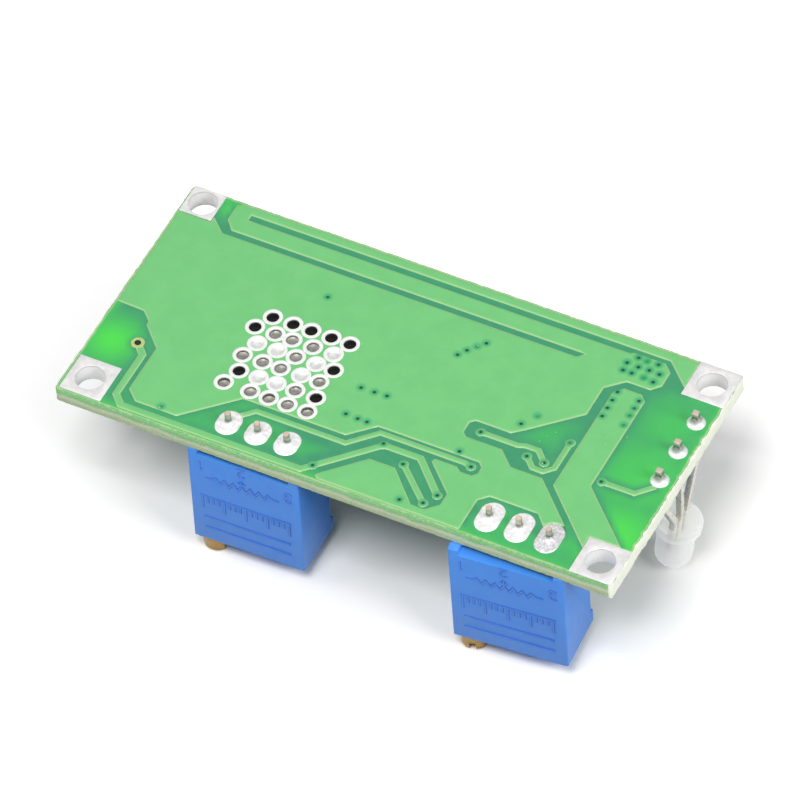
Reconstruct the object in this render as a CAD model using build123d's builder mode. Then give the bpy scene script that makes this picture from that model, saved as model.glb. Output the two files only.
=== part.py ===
from build123d import *
import os
from math import cos, radians, sin, sqrt

# A step-down converter board lying solder side up, as it is set down on a table:
# it stands on the two trimmer screws and on the ends of its two capacitor cans.
# +X runs along the board, +Y to its back edge, +Z up out of the soldered face.

# Board
board_length = 48.0
board_width = 23.0
laminate_thickness = 1.4
board_corner_radius = 0.4
copper_thickness = 0.07
copper_setback = 0.3
fit_clearance = 0.03

# Small drillings, their rings, the pins in them and the solder have flats in place of arcs
drilling_sides = 10
joint_sides = 12

# Wire pads: a tinned square on each face, joined by the plated wall of the hole
wire_pad_side = 3.6
small_wire_pad_side = 2.8
wire_pad_thickness = 0.1
wire_hole_radius = 1.2
wire_hole_plating = 0.1

# Heat vias under the regulator tab
heat_via_radius = 0.5
heat_via_ring_radius = 0.81
heat_via_ring_thickness = 0.09
heat_via_window_margin = 0.12

# Trimmers
trimmer_width = 9.53
trimmer_depth = 4.83
trimmer_height = 10.03
trimmer_foot_width = 0.85
trimmer_foot_height = 0.5
trimmer_lip_height = 1.2
trimmer_lip_depth = 0.25
trimmer_edge_radius = 0.15
trimmer_pin_pitch = 2.54
trimmer_pin_radius = 0.25
trimmer_pin_depth = 1.0
screw_radius = 1.1
screw_reach = 1.52
screw_inset = 1.27
screw_neck_depth = 1.6
screw_edge = 0.12
lead_screw_radius = 0.7
lead_screw_length = 6.5
screw_slot_width = 0.5
screw_slot_depth = 0.7
screw_running_clearance = 0.05

# Soldered joints on the upper face
pin_hole_clearance = 0.2
pin_tip_height = 1.25
joint_pad_width = 1.95
joint_height = 0.45
joint_slope = 50

# Three-leg lamp
lamp_radius = 1.5
lamp_flange_radius = 1.9
lamp_flange_thickness = 1.0
lamp_length = 5.3
lamp_leg_side = 0.5
lamp_leg_spread = 3.14
lamp_leg_pitch = 1.1
lamp_leg_drop = 1.6
lamp_leg_straight = 0.9
lamp_leg_depth = 2.6
lamp_cup_radius = 0.45
lamp_tip_clearance = 0.15
lamp_lean_forward = 2.0
lamp_lean_left = 8.0
lamp_pad_radius = 0.76
lamp_joint_height = 0.75
lamp_joint_slope = 27

# Power parts on the component face
land_thickness = 0.05
land_margin = 0.3
regulator_width = 10.0
regulator_body_length = 8.7
regulator_height = 4.4
regulator_tab_reach = 1.3
regulator_tab_thickness = 1.27
regulator_tab_depth = 6.5
regulator_lead_pitch = 1.7
regulator_lead_width = 0.8
regulator_lead_thickness = 0.45
regulator_lead_level = 2.5
regulator_lead_reach = 4.9
regulator_foot_length = 2.2
regulator_body_chamfer = 0.5
can_radius = 4.0
can_edge_chamfer = 0.35
can_groove_depth = 0.25
can_groove_width = 0.7
can_groove_level = 2.6
can_base_side = 8.3
can_base_height = 1.3
can_base_chamfer = 2.0
can_lead_width = 0.8
can_lead_thickness = 0.3
can_lead_reach = 0.9
can_lead_gap = 3.0
inductor_side = 7.3
inductor_height = 4.5
inductor_corner = 1.6
inductor_wall = 0.55
inductor_gap = 0.2
inductor_neck_radius = 1.5
inductor_flange_height = 1.0
inductor_strap_width = 2.4
inductor_strap_thickness = 0.25
inductor_strap_foot = 1.6
inductor_strap_rise = 2.2
diode_length = 4.5
diode_width = 3.8
diode_height = 2.3
diode_strap_width = 2.1
diode_strap_thickness = 0.25
diode_strap_foot = 1.0
diode_strap_reach = 0.35
diode_strap_level = 1.3
diode_chamfer = 0.25

# Small parts on the component face
package_standoff = 0.1
package_chamfer = 0.2
amplifier_length = 4.9
amplifier_width = 3.9
amplifier_height = 1.5
amplifier_lead_pitch = 1.27
amplifier_lead_width = 0.42
amplifier_lead_thickness = 0.2
amplifier_lead_reach = 1.05
amplifier_foot_length = 0.6
reference_length = 4.5
reference_width = 2.5
reference_height = 1.5
reference_lead_pitch = 1.5
reference_lead_width = 0.45
reference_lead_thickness = 0.4
reference_lead_reach = 0.8
reference_tab_width = 1.7
chip_length = 2.0
chip_width = 1.25
chip_height = 0.6
chip_capacitor_height = 0.9
chip_end_length = 0.4

# Narrow copper on the solder face
trace_width = 0.6
fine_trace_width = 0.5
trace_via_radius = 0.42

# Places on the board, each measured from the edges that the part sits beside
left = -board_length / 2
right = board_length / 2
front = -board_width / 2
back = board_width / 2
trimmer_pins_at = {1: (left + 14.0, front + 2.46), 2: (right - 11.5, front + 2.35)}
trimmer_body_shift = {1: (-0.3, 0.04), 2: (-0.15, -0.3)}
trimmer_lean = {1: 1.9, 2: 1.0}
trimmer_yaw = {1: 1.1, 2: 4.5}
trimmer_joint_length = {1: 2.45, 2: 3.0}
lamp_at = (right - 1.35, back - 8.93)
lamp_body_shift = (-0.1, -0.3)
input_can_at = (left + 5.35, back - 8.4)
output_can_at = (right - 10.0, back - 4.55)
regulator_at = (left + 10.55, front + 10.25)
diode_y = back - 3.1
reference_y = back - 4.6
chip_resistor_y = front + 3.4
corner_chips_at = [(left + 7.4, front + 3.0), (left + 7.4, front + 5.4)]
lamp_chips_at = [(right - 3.6, back - 9.8), (right - 3.6, back - 7.8)]
back_chips_y = (back - 4.6, back - 2.6)
corner_capacitor_at = (left + 8.2, back - 2.0)
row_clearance = 0.5

# Rows of heat vias: the row's distance behind the regulator's middle, then the distance of
# each via from the tab's edge. The rows are drilled by eye, so the steps are uneven.
heat_via_rows = [
    (3.06, (1.58, 3.36, 4.93, 6.69, 8.30)),
    (1.63, (0.78, 2.56, 4.03, 5.83, 7.63)),
    (0.20, (1.71, 3.47, 5.08, 6.85, 8.38)),
    (-1.30, (1.24, 2.98, 4.55, 6.32, 7.90)),
    (-2.83, (1.73, 3.44, 4.99, 6.62, 8.42)),
    (-4.33, (1.20, 3.50, 5.11, 6.73, 8.45)),
]
heat_via_window_reach = heat_via_ring_radius + heat_via_window_margin
heat_vias = [(regulator_at[0] + x, regulator_at[1] + y) for y, row in heat_via_rows for x in row]


def hanging_plane(x, y, level):
    """Plane on the underside of the board at (x, y): +X as the board's, +Z down."""
    return Plane(origin=(x, y, level), x_dir=(1, 0, 0), z_dir=(0, 0, -1))


def trimmer_seat(number, level):
    """Plane on a trimmer's feet, leaning and turned as it was soldered under a face at level."""
    pin_x, pin_y = trimmer_pins_at[number]
    shift_x, shift_y = trimmer_body_shift[number]
    middle_x = pin_x + trimmer_pin_pitch + shift_x
    drop = fit_clearance + trimmer_depth / 2 * sin(radians(trimmer_lean[number]))
    seat = hanging_plane(middle_x, pin_y + shift_y, level - drop)
    return seat.rotated((-trimmer_lean[number], 0, trimmer_yaw[number]))


def slot_pads(pins, length, width, mode=Mode.ADD):
    """Draws a slotted pad round each pin into the open sketch, its long way across the board."""
    end = (length - width) / 2
    with Locations(pins):
        Rectangle(width, length - width, mode=mode)
        with Locations((0, -end), (0, end)):
            RegularPolygon(width / 2, joint_sides, mode=mode)


def spread(start, stop, lengths):
    """Middles of parts of these lengths, set between two limits with even gaps."""
    gap = (stop - start - sum(lengths)) / (len(lengths) + 1)
    middles = []
    edge = start + gap
    for length in lengths:
        middles.append(edge + length / 2)
        edge += length + gap
    return middles


screw_place = (screw_inset - trimmer_width / 2, trimmer_depth / 2 - screw_inset)
screw_depth = trimmer_height + screw_reach


def depth_of_screw(number):
    """How far a trimmer's screw reaches below the face that the trimmer is soldered to."""
    seat = trimmer_seat(number, 0)
    tip = seat.from_local_coords(Vector(*screw_place, screw_depth))
    return screw_radius * sqrt(1 - seat.z_dir.Z**2) - tip.Z


# Heights over the table. The deeper screw and the capacitor cans set how high the board lies.
component_face = max(depth_of_screw(1), depth_of_screw(2))
solder_face = component_face + laminate_thickness
land_face = component_face - land_thickness
can_height = land_face

# Layout of the component face: each row shares its free length between its parts
trimmer_flank = trimmer_width / 2 * cos(radians(trimmer_yaw[2]))
first_trimmer_right = trimmer_pins_at[1][0] + trimmer_pin_pitch + trimmer_body_shift[1][0] + trimmer_flank
second_trimmer_middle = trimmer_pins_at[2][0] + trimmer_pin_pitch + trimmer_body_shift[2][0]
second_trimmer_back = (
    trimmer_pins_at[2][1]
    + trimmer_body_shift[2][1]
    + trimmer_depth / 2
    + trimmer_lip_depth
    + trimmer_width / 2 * sin(radians(trimmer_yaw[2]))
)
front_row_x = spread(first_trimmer_right, second_trimmer_middle - trimmer_flank, [chip_length] * 3)
chip_resistors_at = [(x, chip_resistor_y) for x in front_row_x] + corner_chips_at + lamp_chips_at

regulator_x, regulator_y = regulator_at
regulator_wall = regulator_x + regulator_tab_reach + regulator_body_length
inductor_overall = inductor_side + 2 * inductor_strap_thickness
inductor_x = regulator_wall + regulator_lead_reach + row_clearance + inductor_overall / 2
inductor_right = inductor_x + inductor_overall / 2
amplifier_x = spread(inductor_right, lamp_at[0] - lamp_leg_side, [amplifier_length])[0]
amplifier_overall = amplifier_width + 2 * amplifier_lead_reach
output_can_front = output_can_at[1] - can_base_side / 2
amplifier_y = spread(second_trimmer_back, output_can_front, [amplifier_overall])[0]
inductor_y = spread(second_trimmer_back, output_can_front, [inductor_side])[0]

diode_bend = diode_length / 2 + diode_strap_reach
diode_overall = 2 * diode_bend + diode_strap_thickness
diode_x, back_chips_x, reference_x = spread(
    input_can_at[0] + can_base_side / 2,
    output_can_at[0] - can_base_side / 2 - can_lead_reach,
    [diode_overall, chip_length, reference_length],
)
chip_capacitors_at = [(back_chips_x, y) for y in back_chips_y] + [corner_capacitor_at]

wire_pads = {
    "input_plus_pad": (left + 2.15, front + 2.05, wire_pad_side),
    "input_minus_pad": (left + 1.65, back - 1.5, small_wire_pad_side),
    "output_plus_pad": (right - 1.9, front + 1.9, wire_pad_side),
    "output_minus_pad": (right - 1.9, back - 1.9, wire_pad_side),
}
trimmer_pins = {
    number: [(x + trimmer_pin_pitch * step, y) for step in range(3)]
    for number, (x, y) in trimmer_pins_at.items()
}
lamp_pins = [(lamp_at[0], lamp_at[1] + lamp_leg_spread * step) for step in (-1, 0, 1)]
all_trimmer_pins = trimmer_pins[1] + trimmer_pins[2]
wire_barrel_radius = wire_hole_radius + wire_hole_plating
wire_places = [(x, y) for x, y, side in wire_pads.values()]
lamp_hole_radius = lamp_leg_side / sqrt(2) + pin_hole_clearance

os.makedirs("parts", exist_ok=True)

# Glass-fibre board with its drilled holes
with BuildPart() as laminate:
    with BuildSketch(Plane.XY.offset(component_face)):
        RectangleRounded(board_length, board_width, board_corner_radius)
        with Locations(wire_places):
            Circle(wire_barrel_radius + fit_clearance, mode=Mode.SUBTRACT)
        with Locations(heat_vias):
            RegularPolygon(heat_via_radius, drilling_sides, mode=Mode.SUBTRACT)
        with Locations(all_trimmer_pins):
            RegularPolygon(trimmer_pin_radius + pin_hole_clearance, drilling_sides, mode=Mode.SUBTRACT)
        with Locations(lamp_pins):
            RegularPolygon(lamp_hole_radius, drilling_sides, mode=Mode.SUBTRACT)
    extrude(amount=laminate_thickness)
laminate.part.label = "laminate"
export_step(laminate.part, "parts/laminate.step")

# Ground copper on the solder face. A narrow strip folds along the back edge to the output's
# minus pad, and its length is what measures the current.
pad_left = wire_pads["output_minus_pad"][0] - wire_pad_side / 2
small_pad_right = wire_pads["input_minus_pad"][0] + small_wire_pad_side / 2
small_pad_front = wire_pads["input_minus_pad"][1] - small_wire_pad_side / 2
third_pin_x, third_pin_y = trimmer_pins[2][2]
joint_left = third_pin_x - joint_pad_width / 2 + fit_clearance
joint_right = third_pin_x + joint_pad_width / 2 - fit_clearance
ground_outline = [
    (left + 4.5, back - copper_setback),
    (pad_left, back - copper_setback),
    (pad_left, back - 3.05),
    (right - 5.85, back - 1.05),
    (left + 5.7, back - 1.05),
    (left + 5.7, back - 1.58),
    (right - 9.1, back - 1.58),
    (right - 8.8, back - 1.4),
    (right - 6.1, back - 1.4),
    (right - 5.35, back - 2.1),
    (right - 5.35, back - 3.6),
    (right - 6.0, back - 4.3),
    (right - 8.0, back - 4.3),
    (right - 9.35, back - 5.55),
    (right - 9.35, front + 14.5),
    (right - 13.0, front + 11.1),
    (right - 13.8, front + 10.45),
    (right - 16.8, front + 10.45),
    (right - 17.15, front + 10.1),
    (right - 17.15, front + 9.1),
    (right - 16.8, front + 8.75),
    (right - 13.7, front + 8.75),
    (right - 12.3, front + 7.45),
    (right - 9.6, front + 7.45),
    (right - 6.15, front + 4.15),
    (joint_right, front + 3.4),
    (joint_right, third_pin_y),
    (joint_left, third_pin_y),
    (joint_left, front + 3.15),
    (right - 8.3, front + 4.15),
    (right - 12.4, front + 4.15),
    (right - 13.1, front + 3.45),
    (right - 13.1, front + copper_setback),
    (left + 22.75, front + copper_setback),
    (left + 22.4, front + 0.6),
    (left + 22.75, front + 1.05),
    (left + 25.5, front + 3.75),
    (left + 27.7, front + 3.75),
    (left + 30.45, front + 1.0),
    (left + 31.6, front + 1.0),
    (left + 32.5, front + 1.9),
    (left + 32.5, front + 3.05),
    (left + 29.95, front + 5.45),
    (left + 30.05, front + 5.8),
    (left + 31.95, front + 5.8),
    (left + 32.4, front + 5.45),
    (left + 33.35, front + 5.45),
    (left + 33.7, front + 5.85),
    (left + 33.7, front + 6.45),
    (left + 33.3, front + 6.85),
    (left + 24.65, front + 6.85),
    (left + 22.75, front + 5.05),
    (left + 13.9, front + 5.05),
    (left + 10.0, front + 1.4),
    (left + 6.4, front + 1.4),
    (left + 5.35, front + 2.35),
    (left + 5.35, front + 6.8),
    (left + 3.55, front + 8.6),
    (left + 3.45, front + 9.05),
    (left + 2.65, front + 9.8),
    (left + copper_setback, front + 9.9),
    (left + copper_setback, small_pad_front - fit_clearance),
    (small_pad_right + fit_clearance, small_pad_front - fit_clearance),
    (small_pad_right + fit_clearance, back - 2.35),
    (left + 4.45, back - 3.58),
    (right - 12.7, back - 3.58),
    (right - 12.2, back - 3.08),
    (left + 5.0, back - 3.08),
    (left + 4.15, back - 2.15),
    (left + 4.15, back - 0.6),
]
with BuildPart() as ground_copper:
    with BuildSketch(Plane.XY.offset(solder_face)):
        with BuildLine():
            Polyline(*ground_outline, close=True)
        make_face()
        for row_y, row in heat_via_rows:
            with Locations((regulator_at[0] + (row[0] + row[-1]) / 2, regulator_at[1] + row_y)):
                Rectangle(
                    row[-1] - row[0] + 2 * heat_via_window_reach,
                    2 * heat_via_window_reach,
                    mode=Mode.SUBTRACT,
                )
        slot_pads(
            trimmer_pins[2],
            trimmer_joint_length[2] + 2 * fit_clearance,
            joint_pad_width + 2 * fit_clearance,
            mode=Mode.SUBTRACT,
        )
    extrude(amount=copper_thickness)
ground_copper.part.label = "ground_copper"
export_step(ground_copper.part, "parts/ground_copper.step")

# Output copper: a broad branch from the output's plus pad to its row of vias
plus_pad_left = wire_pads["output_plus_pad"][0] - wire_pad_side / 2
plus_pad_back = wire_pads["output_plus_pad"][1] + wire_pad_side / 2
output_outline = [
    (right - 8.55, back - 5.6),
    (right - 7.9, back - 4.95),
    (right - 6.4, back - 4.95),
    (right - 5.85, back - 5.5),
    (right - 5.85, front + 8.25),
    (right - 1.05, plus_pad_back + fit_clearance),
    (plus_pad_left - fit_clearance, plus_pad_back + fit_clearance),
    (plus_pad_left - fit_clearance, front + 2.55),
    (right - 8.55, front + 7.15),
]
with BuildPart() as output_copper:
    with BuildSketch(Plane.XY.offset(solder_face)):
        with BuildLine():
            Polyline(*output_outline, close=True)
        make_face()
    extrude(amount=copper_thickness)
output_copper.part.label = "output_copper"
export_step(output_copper.part, "parts/output_copper.step")

# Narrow traces of the control circuit, each ending in the ring of a small via
front_trace_via = (left + 25.9, front + 5.38)
front_trace = [
    (left + 3.8, front + 6.7),
    (left + 4.7, front + 5.8),
    (left + 4.7, front + 1.5),
    (left + 5.55, front + 0.65),
    (left + 21.15, front + 0.65),
    front_trace_via,
    (left + 29.05, front + 5.38),
    (left + 31.9, front + 2.6),
]
first_pin_x, first_pin_y = trimmer_pins[1][0]
front_lamp_x, front_lamp_y = lamp_pins[0]
reference_trace = [
    (first_pin_x, first_pin_y + 0.52),
    (left + 15.4, front + 4.38),
    (left + 23.1, front + 4.38),
    (left + 25.1, front + 6.38),
    (left + 32.3, front + 6.38),
    (left + 32.95, front + 6.2),
]
link_trace = [
    (left + 28.15, front + 4.3),
    (left + 31.25, front + 1.5),
]
sense_trace = [
    (right - 15.95, front + 9.6),
    (right - 12.8, front + 9.6),
    (right - 12.2, front + 9.8),
    (right - 11.1, front + 9.8),
    (right - 10.15, front + 8.85),
]
feedback_trace = [
    (right - 11.65, front + 8.9),
    (right - 10.75, front + 8.05),
    (right - 9.85, front + 8.05),
    (right - 9.2, front + 8.7),
    (right - 9.2, front + 11.45),
]
lamp_trace = [
    (right - 5.3, front + 8.97),
    (right - 2.55, front + 8.97),
    (front_lamp_x, front_lamp_y - 0.7),
]
fine_traces = [reference_trace, link_trace, sense_trace, feedback_trace, lamp_trace]
trace_vias = [
    front_trace[0],
    (left + 21.85, front + 1.35),
    front_trace_via,
    front_trace[-1],
    reference_trace[-1],
    lamp_trace[0],
]
for via_trace in (link_trace, sense_trace, feedback_trace):
    trace_vias += [via_trace[0], via_trace[-1]]
with BuildPart() as signal_traces:
    with BuildSketch(Plane.XY.offset(solder_face)):
        with BuildLine():
            Polyline(*front_trace)
        trace(line_width=trace_width)
        for fine_trace in fine_traces:
            with BuildLine():
                Polyline(*fine_trace)
            trace(line_width=fine_trace_width)
        with Locations(trace_vias):
            RegularPolygon(trace_via_radius, drilling_sides)
        for number in (1, 2):
            slot_pads(
                trimmer_pins[number],
                trimmer_joint_length[number] + 2 * fit_clearance,
                joint_pad_width + 2 * fit_clearance,
                mode=Mode.SUBTRACT,
            )
        with Locations(lamp_pins):
            RegularPolygon(lamp_pad_radius + fit_clearance, joint_sides, mode=Mode.SUBTRACT)
    extrude(amount=copper_thickness)
signal_traces.part.label = "signal_traces"
export_step(signal_traces.part, "parts/signal_traces.step")

# Tinned rings round the heat vias, run together where the drilling is close
with BuildPart() as heat_via_rings:
    with BuildSketch(Plane.XY.offset(solder_face)):
        with Locations(heat_vias):
            RegularPolygon(heat_via_ring_radius, drilling_sides)
        with Locations(heat_vias):
            RegularPolygon(heat_via_radius, drilling_sides, mode=Mode.SUBTRACT)
    extrude(amount=heat_via_ring_thickness)
heat_via_rings.part.label = "heat_via_rings"
export_step(heat_via_rings.part, "parts/heat_via_rings.step")

# Four wire pads, where the cables to the supply and the load are soldered
for pad_name, (pad_x, pad_y, pad_side) in wire_pads.items():
    with BuildPart() as wire_pad:
        with BuildSketch(Plane.XY.offset(solder_face)):
            with Locations((pad_x, pad_y)):
                Rectangle(pad_side, pad_side)
        extrude(amount=wire_pad_thickness)
        with BuildSketch(Plane.XY.offset(component_face)):
            with Locations((pad_x, pad_y)):
                Rectangle(pad_side, pad_side)
        extrude(amount=-wire_pad_thickness)
        with BuildSketch(Plane.XY.offset(component_face)):
            with Locations((pad_x, pad_y)):
                Circle(wire_barrel_radius)
        extrude(amount=laminate_thickness)
        with BuildSketch(Plane.XY.offset(component_face - wire_pad_thickness)):
            with Locations((pad_x, pad_y)):
                Circle(wire_hole_radius)
        extrude(amount=laminate_thickness + 2 * wire_pad_thickness, mode=Mode.SUBTRACT)
    wire_pad.part.label = pad_name
    export_step(wire_pad.part, f"parts/{pad_name}.step")


def build_trimmer(number):
    """A multi-turn trimmer: moulded housing, brass screw, three pins and their joints."""
    seat = trimmer_seat(number, component_face)
    pins = trimmer_pins[number]
    pin_foot = component_face - trimmer_foot_height - trimmer_pin_depth

    with BuildPart() as housing:
        with BuildSketch(seat):
            RectangleRounded(trimmer_width, trimmer_depth, trimmer_edge_radius)
        extrude(amount=trimmer_height)
        with BuildSketch(seat.offset(trimmer_height - trimmer_lip_height)):
            with Locations((0, -trimmer_depth / 2)):
                Rectangle(trimmer_width, 2 * trimmer_lip_depth)
        extrude(amount=trimmer_lip_height)
        with BuildSketch(seat):
            Rectangle(trimmer_width - 2 * trimmer_foot_width, trimmer_depth)
        extrude(amount=trimmer_foot_height, mode=Mode.SUBTRACT)
        with BuildSketch(seat.offset(trimmer_height)):
            with Locations(screw_place):
                Circle(screw_radius + screw_running_clearance)
        extrude(amount=-screw_neck_depth, mode=Mode.SUBTRACT)
        with BuildSketch(seat.offset(trimmer_height - screw_neck_depth)):
            with Locations(screw_place):
                Circle(lead_screw_radius + screw_running_clearance)
        extrude(amount=-lead_screw_length, mode=Mode.SUBTRACT)
        with BuildSketch(Plane.XY.offset(pin_foot - fit_clearance)):
            with Locations(pins):
                RegularPolygon(trimmer_pin_radius + fit_clearance, drilling_sides, major_radius=False)
        extrude(amount=trimmer_foot_height + trimmer_pin_depth, mode=Mode.SUBTRACT)
    housing.part.label = f"trimmer_{number}_housing"
    export_step(housing.part, f"parts/trimmer_{number}_housing.step")

    screw_shoulder = trimmer_height - screw_neck_depth + screw_running_clearance
    with BuildPart() as screw:
        with BuildSketch(seat.offset(screw_shoulder)):
            with Locations(screw_place):
                Circle(screw_radius)
        extrude(amount=screw_depth - screw_shoulder)
        chamfer(screw.edges().filter_by(GeomType.CIRCLE).sort_by(Axis.Z)[0], screw_edge)
        with BuildSketch(seat.offset(screw_shoulder)):
            with Locations(screw_place):
                Circle(lead_screw_radius)
        extrude(amount=-(lead_screw_length - 2 * screw_running_clearance))
        with BuildSketch(seat.offset(screw_depth)):
            with Locations(screw_place):
                Rectangle(screw_slot_width, 2 * screw_radius)
        extrude(amount=-screw_slot_depth, mode=Mode.SUBTRACT)
    screw.part.label = f"trimmer_{number}_screw"
    export_step(screw.part, f"parts/trimmer_{number}_screw.step")

    with BuildPart() as pin_row:
        with BuildSketch(Plane.XY.offset(pin_foot)):
            with Locations(pins):
                RegularPolygon(trimmer_pin_radius, drilling_sides, major_radius=False)
        extrude(amount=solder_face + pin_tip_height - pin_foot)
    pin_row.part.label = f"trimmer_{number}_pins"
    export_step(pin_row.part, f"parts/trimmer_{number}_pins.step")

    with BuildPart() as joints:
        with BuildSketch(Plane.XY.offset(solder_face)):
            slot_pads(pins, trimmer_joint_length[number], joint_pad_width)
        extrude(amount=joint_height, taper=joint_slope)
        with BuildSketch(Plane.XY.offset(solder_face)):
            with Locations(pins):
                RegularPolygon(trimmer_pin_radius + fit_clearance, drilling_sides, major_radius=False)
        extrude(amount=joint_height, mode=Mode.SUBTRACT)
    joints.part.label = f"trimmer_{number}_joints"
    export_step(joints.part, f"parts/trimmer_{number}_joints.step")


for trimmer_number in (1, 2):
    build_trimmer(trimmer_number)

# Lamp: a cast lens that hangs below the edge on three bent legs
lamp_dome_level = lamp_length - lamp_radius
lamp_lean = (-lamp_lean_forward, lamp_lean_left, 0)
upright = Plane(origin=(0, 0, 0), x_dir=(1, 0, 0), z_dir=(0, 0, -1)).rotated(lamp_lean)
lamp_level = lamp_tip_clearance + lamp_radius - upright.z_dir.Z * lamp_dome_level
lamp_seat = hanging_plane(
    lamp_at[0] + lamp_body_shift[0],
    lamp_at[1] + lamp_body_shift[1],
    lamp_level,
).rotated(lamp_lean)
lamp_axis = Axis(lamp_seat.origin, lamp_seat.z_dir)
with BuildPart() as lamp_legs:
    for step, (pin_x, pin_y) in zip((-1, 0, 1), lamp_pins):
        tip = Vector(pin_x, pin_y, solder_face + pin_tip_height)
        bend = Vector(pin_x, pin_y, component_face - lamp_leg_drop)
        entry = lamp_seat.from_local_coords(Vector(0, -lamp_leg_pitch * step, -lamp_leg_straight))
        end = lamp_seat.from_local_coords(Vector(0, -lamp_leg_pitch * step, lamp_leg_depth))
        with BuildLine():
            Polyline(tip, bend, entry, end)
        with BuildSketch(Plane(origin=tip, x_dir=(1, 0, 0), z_dir=(0, 0, -1))):
            Rectangle(lamp_leg_side, lamp_leg_side)
        sweep(transition=Transition.RIGHT)
    with BuildSketch(lamp_seat.offset(lamp_leg_depth - lamp_cup_radius)):
        Circle(lamp_cup_radius)
    extrude(amount=2 * lamp_cup_radius)
lamp_legs.part.label = "lamp_legs"
export_step(lamp_legs.part, "parts/lamp_legs.step")

with BuildPart() as lamp_lens:
    with BuildSketch(Plane(origin=lamp_seat.origin, x_dir=lamp_seat.x_dir, z_dir=-lamp_seat.y_dir)):
        with BuildLine():
            Polyline(
                (0, lamp_length),
                (0, 0),
                (lamp_flange_radius, 0),
                (lamp_flange_radius, lamp_flange_thickness),
                (lamp_radius, lamp_flange_thickness),
                (lamp_radius, lamp_dome_level),
            )
            RadiusArc((lamp_radius, lamp_dome_level), (0, lamp_length), -lamp_radius)
        make_face()
    revolve(axis=lamp_axis)
    add(lamp_legs.part, mode=Mode.SUBTRACT)
lamp_lens.part.label = "lamp_lens"
export_step(lamp_lens.part, "parts/lamp_lens.step")

with BuildPart() as lamp_joints:
    with BuildSketch(Plane.XY.offset(solder_face)):
        with Locations(lamp_pins):
            RegularPolygon(lamp_pad_radius, joint_sides)
    extrude(amount=lamp_joint_height, taper=lamp_joint_slope)
    with BuildSketch(Plane.XY.offset(solder_face)):
        with Locations(lamp_pins):
            Rectangle(lamp_leg_side, lamp_leg_side)
    extrude(amount=lamp_joint_height, mode=Mode.SUBTRACT)
lamp_joints.part.label = "lamp_joints"
export_step(lamp_joints.part, "parts/lamp_joints.step")


def side_plane(x, y, heading):
    """Upright plane at (x, y): its first axis runs along the heading, its second one down."""
    run = (cos(radians(heading)), sin(radians(heading)), 0)
    across = (-sin(radians(heading)), cos(radians(heading)), 0)
    return Plane(origin=(x, y, land_face), x_dir=run, z_dir=across)


def gull_line(level, reach, foot_length, thickness):
    """Middle line of a lead that leaves a body at level and bends down to its land."""
    shoulder = (reach - foot_length) * 0.4
    foot_level = thickness / 2
    return [(0, level), (shoulder, level), (reach - foot_length, foot_level), (reach, foot_level)]


# Switching regulator: a moulded body on a metal tab, with five leads
regulator_plane = hanging_plane(regulator_x, regulator_y, land_face)
regulator_tab_length = regulator_tab_reach + regulator_tab_depth
regulator_leads_y = [regulator_y + regulator_lead_pitch * step for step in (-2, -1, 0, 1, 2)]
with BuildPart() as regulator_tab:
    with BuildSketch(regulator_plane):
        with Locations((regulator_tab_length / 2, 0)):
            Rectangle(regulator_tab_length, regulator_width)
    extrude(amount=regulator_tab_thickness)
regulator_tab.part.label = "regulator_tab"
export_step(regulator_tab.part, "parts/regulator_tab.step")

with BuildPart() as regulator_body:
    with BuildSketch(regulator_plane):
        with Locations((regulator_tab_reach + regulator_body_length / 2, 0)):
            Rectangle(regulator_body_length, regulator_width)
    extrude(amount=regulator_height)
    chamfer(regulator_body.faces().sort_by(Axis.Z)[0].edges(), regulator_body_chamfer)
    add(regulator_tab.part, mode=Mode.SUBTRACT)
regulator_body.part.label = "regulator_body"
export_step(regulator_body.part, "parts/regulator_body.step")

with BuildPart() as regulator_leads:
    for lead_y in regulator_leads_y:
        with BuildSketch(side_plane(regulator_wall, lead_y, 0)):
            with BuildLine():
                Polyline(
                    *gull_line(
                        regulator_lead_level,
                        regulator_lead_reach,
                        regulator_foot_length,
                        regulator_lead_thickness,
                    )
                )
            trace(line_width=regulator_lead_thickness)
        extrude(amount=regulator_lead_width / 2, both=True)
regulator_leads.part.label = "regulator_leads"
export_step(regulator_leads.part, "parts/regulator_leads.step")


def build_capacitor(name, x, y, heading):
    """An aluminium capacitor can on its moulded base, with a flat lead out of each side."""
    plane = hanging_plane(x, y, land_face)
    turned = plane.rotated((0, 0, heading))
    lead_length = can_base_side / 2 + can_lead_reach - can_lead_gap / 2

    with BuildPart() as leads:
        with BuildSketch(turned):
            for side in (-1, 1):
                with Locations((side * (can_lead_gap + lead_length) / 2, 0)):
                    Rectangle(lead_length, can_lead_width)
        extrude(amount=can_lead_thickness)
    leads.part.label = f"{name}_leads"
    export_step(leads.part, f"parts/{name}_leads.step")

    with BuildPart() as base:
        with BuildSketch(turned) as outline:
            Rectangle(can_base_side, can_base_side)
            chamfer(outline.vertices().group_by(Axis.X)[-1], can_base_chamfer)
        extrude(amount=can_base_height)
        add(leads.part, mode=Mode.SUBTRACT)
    base.part.label = f"{name}_base"
    export_step(base.part, f"parts/{name}_base.step")

    with BuildPart() as can:
        with BuildSketch(side_plane(x, y, 0)):
            with BuildLine():
                Polyline(
                    (0, can_height),
                    (0, can_base_height),
                    (can_radius, can_base_height),
                    (can_radius, can_groove_level - can_groove_width / 2),
                    (can_radius - can_groove_depth, can_groove_level),
                    (can_radius, can_groove_level + can_groove_width / 2),
                    (can_radius, can_height - can_edge_chamfer),
                    (can_radius - can_edge_chamfer, can_height),
                    close=True,
                )
            make_face()
        revolve(axis=Axis((x, y, 0), (0, 0, 1)))
    can.part.label = f"{name}_can"
    export_step(can.part, f"parts/{name}_can.step")


build_capacitor("input_capacitor", *input_can_at, 90)
build_capacitor("output_capacitor", *output_can_at, 0)

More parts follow.
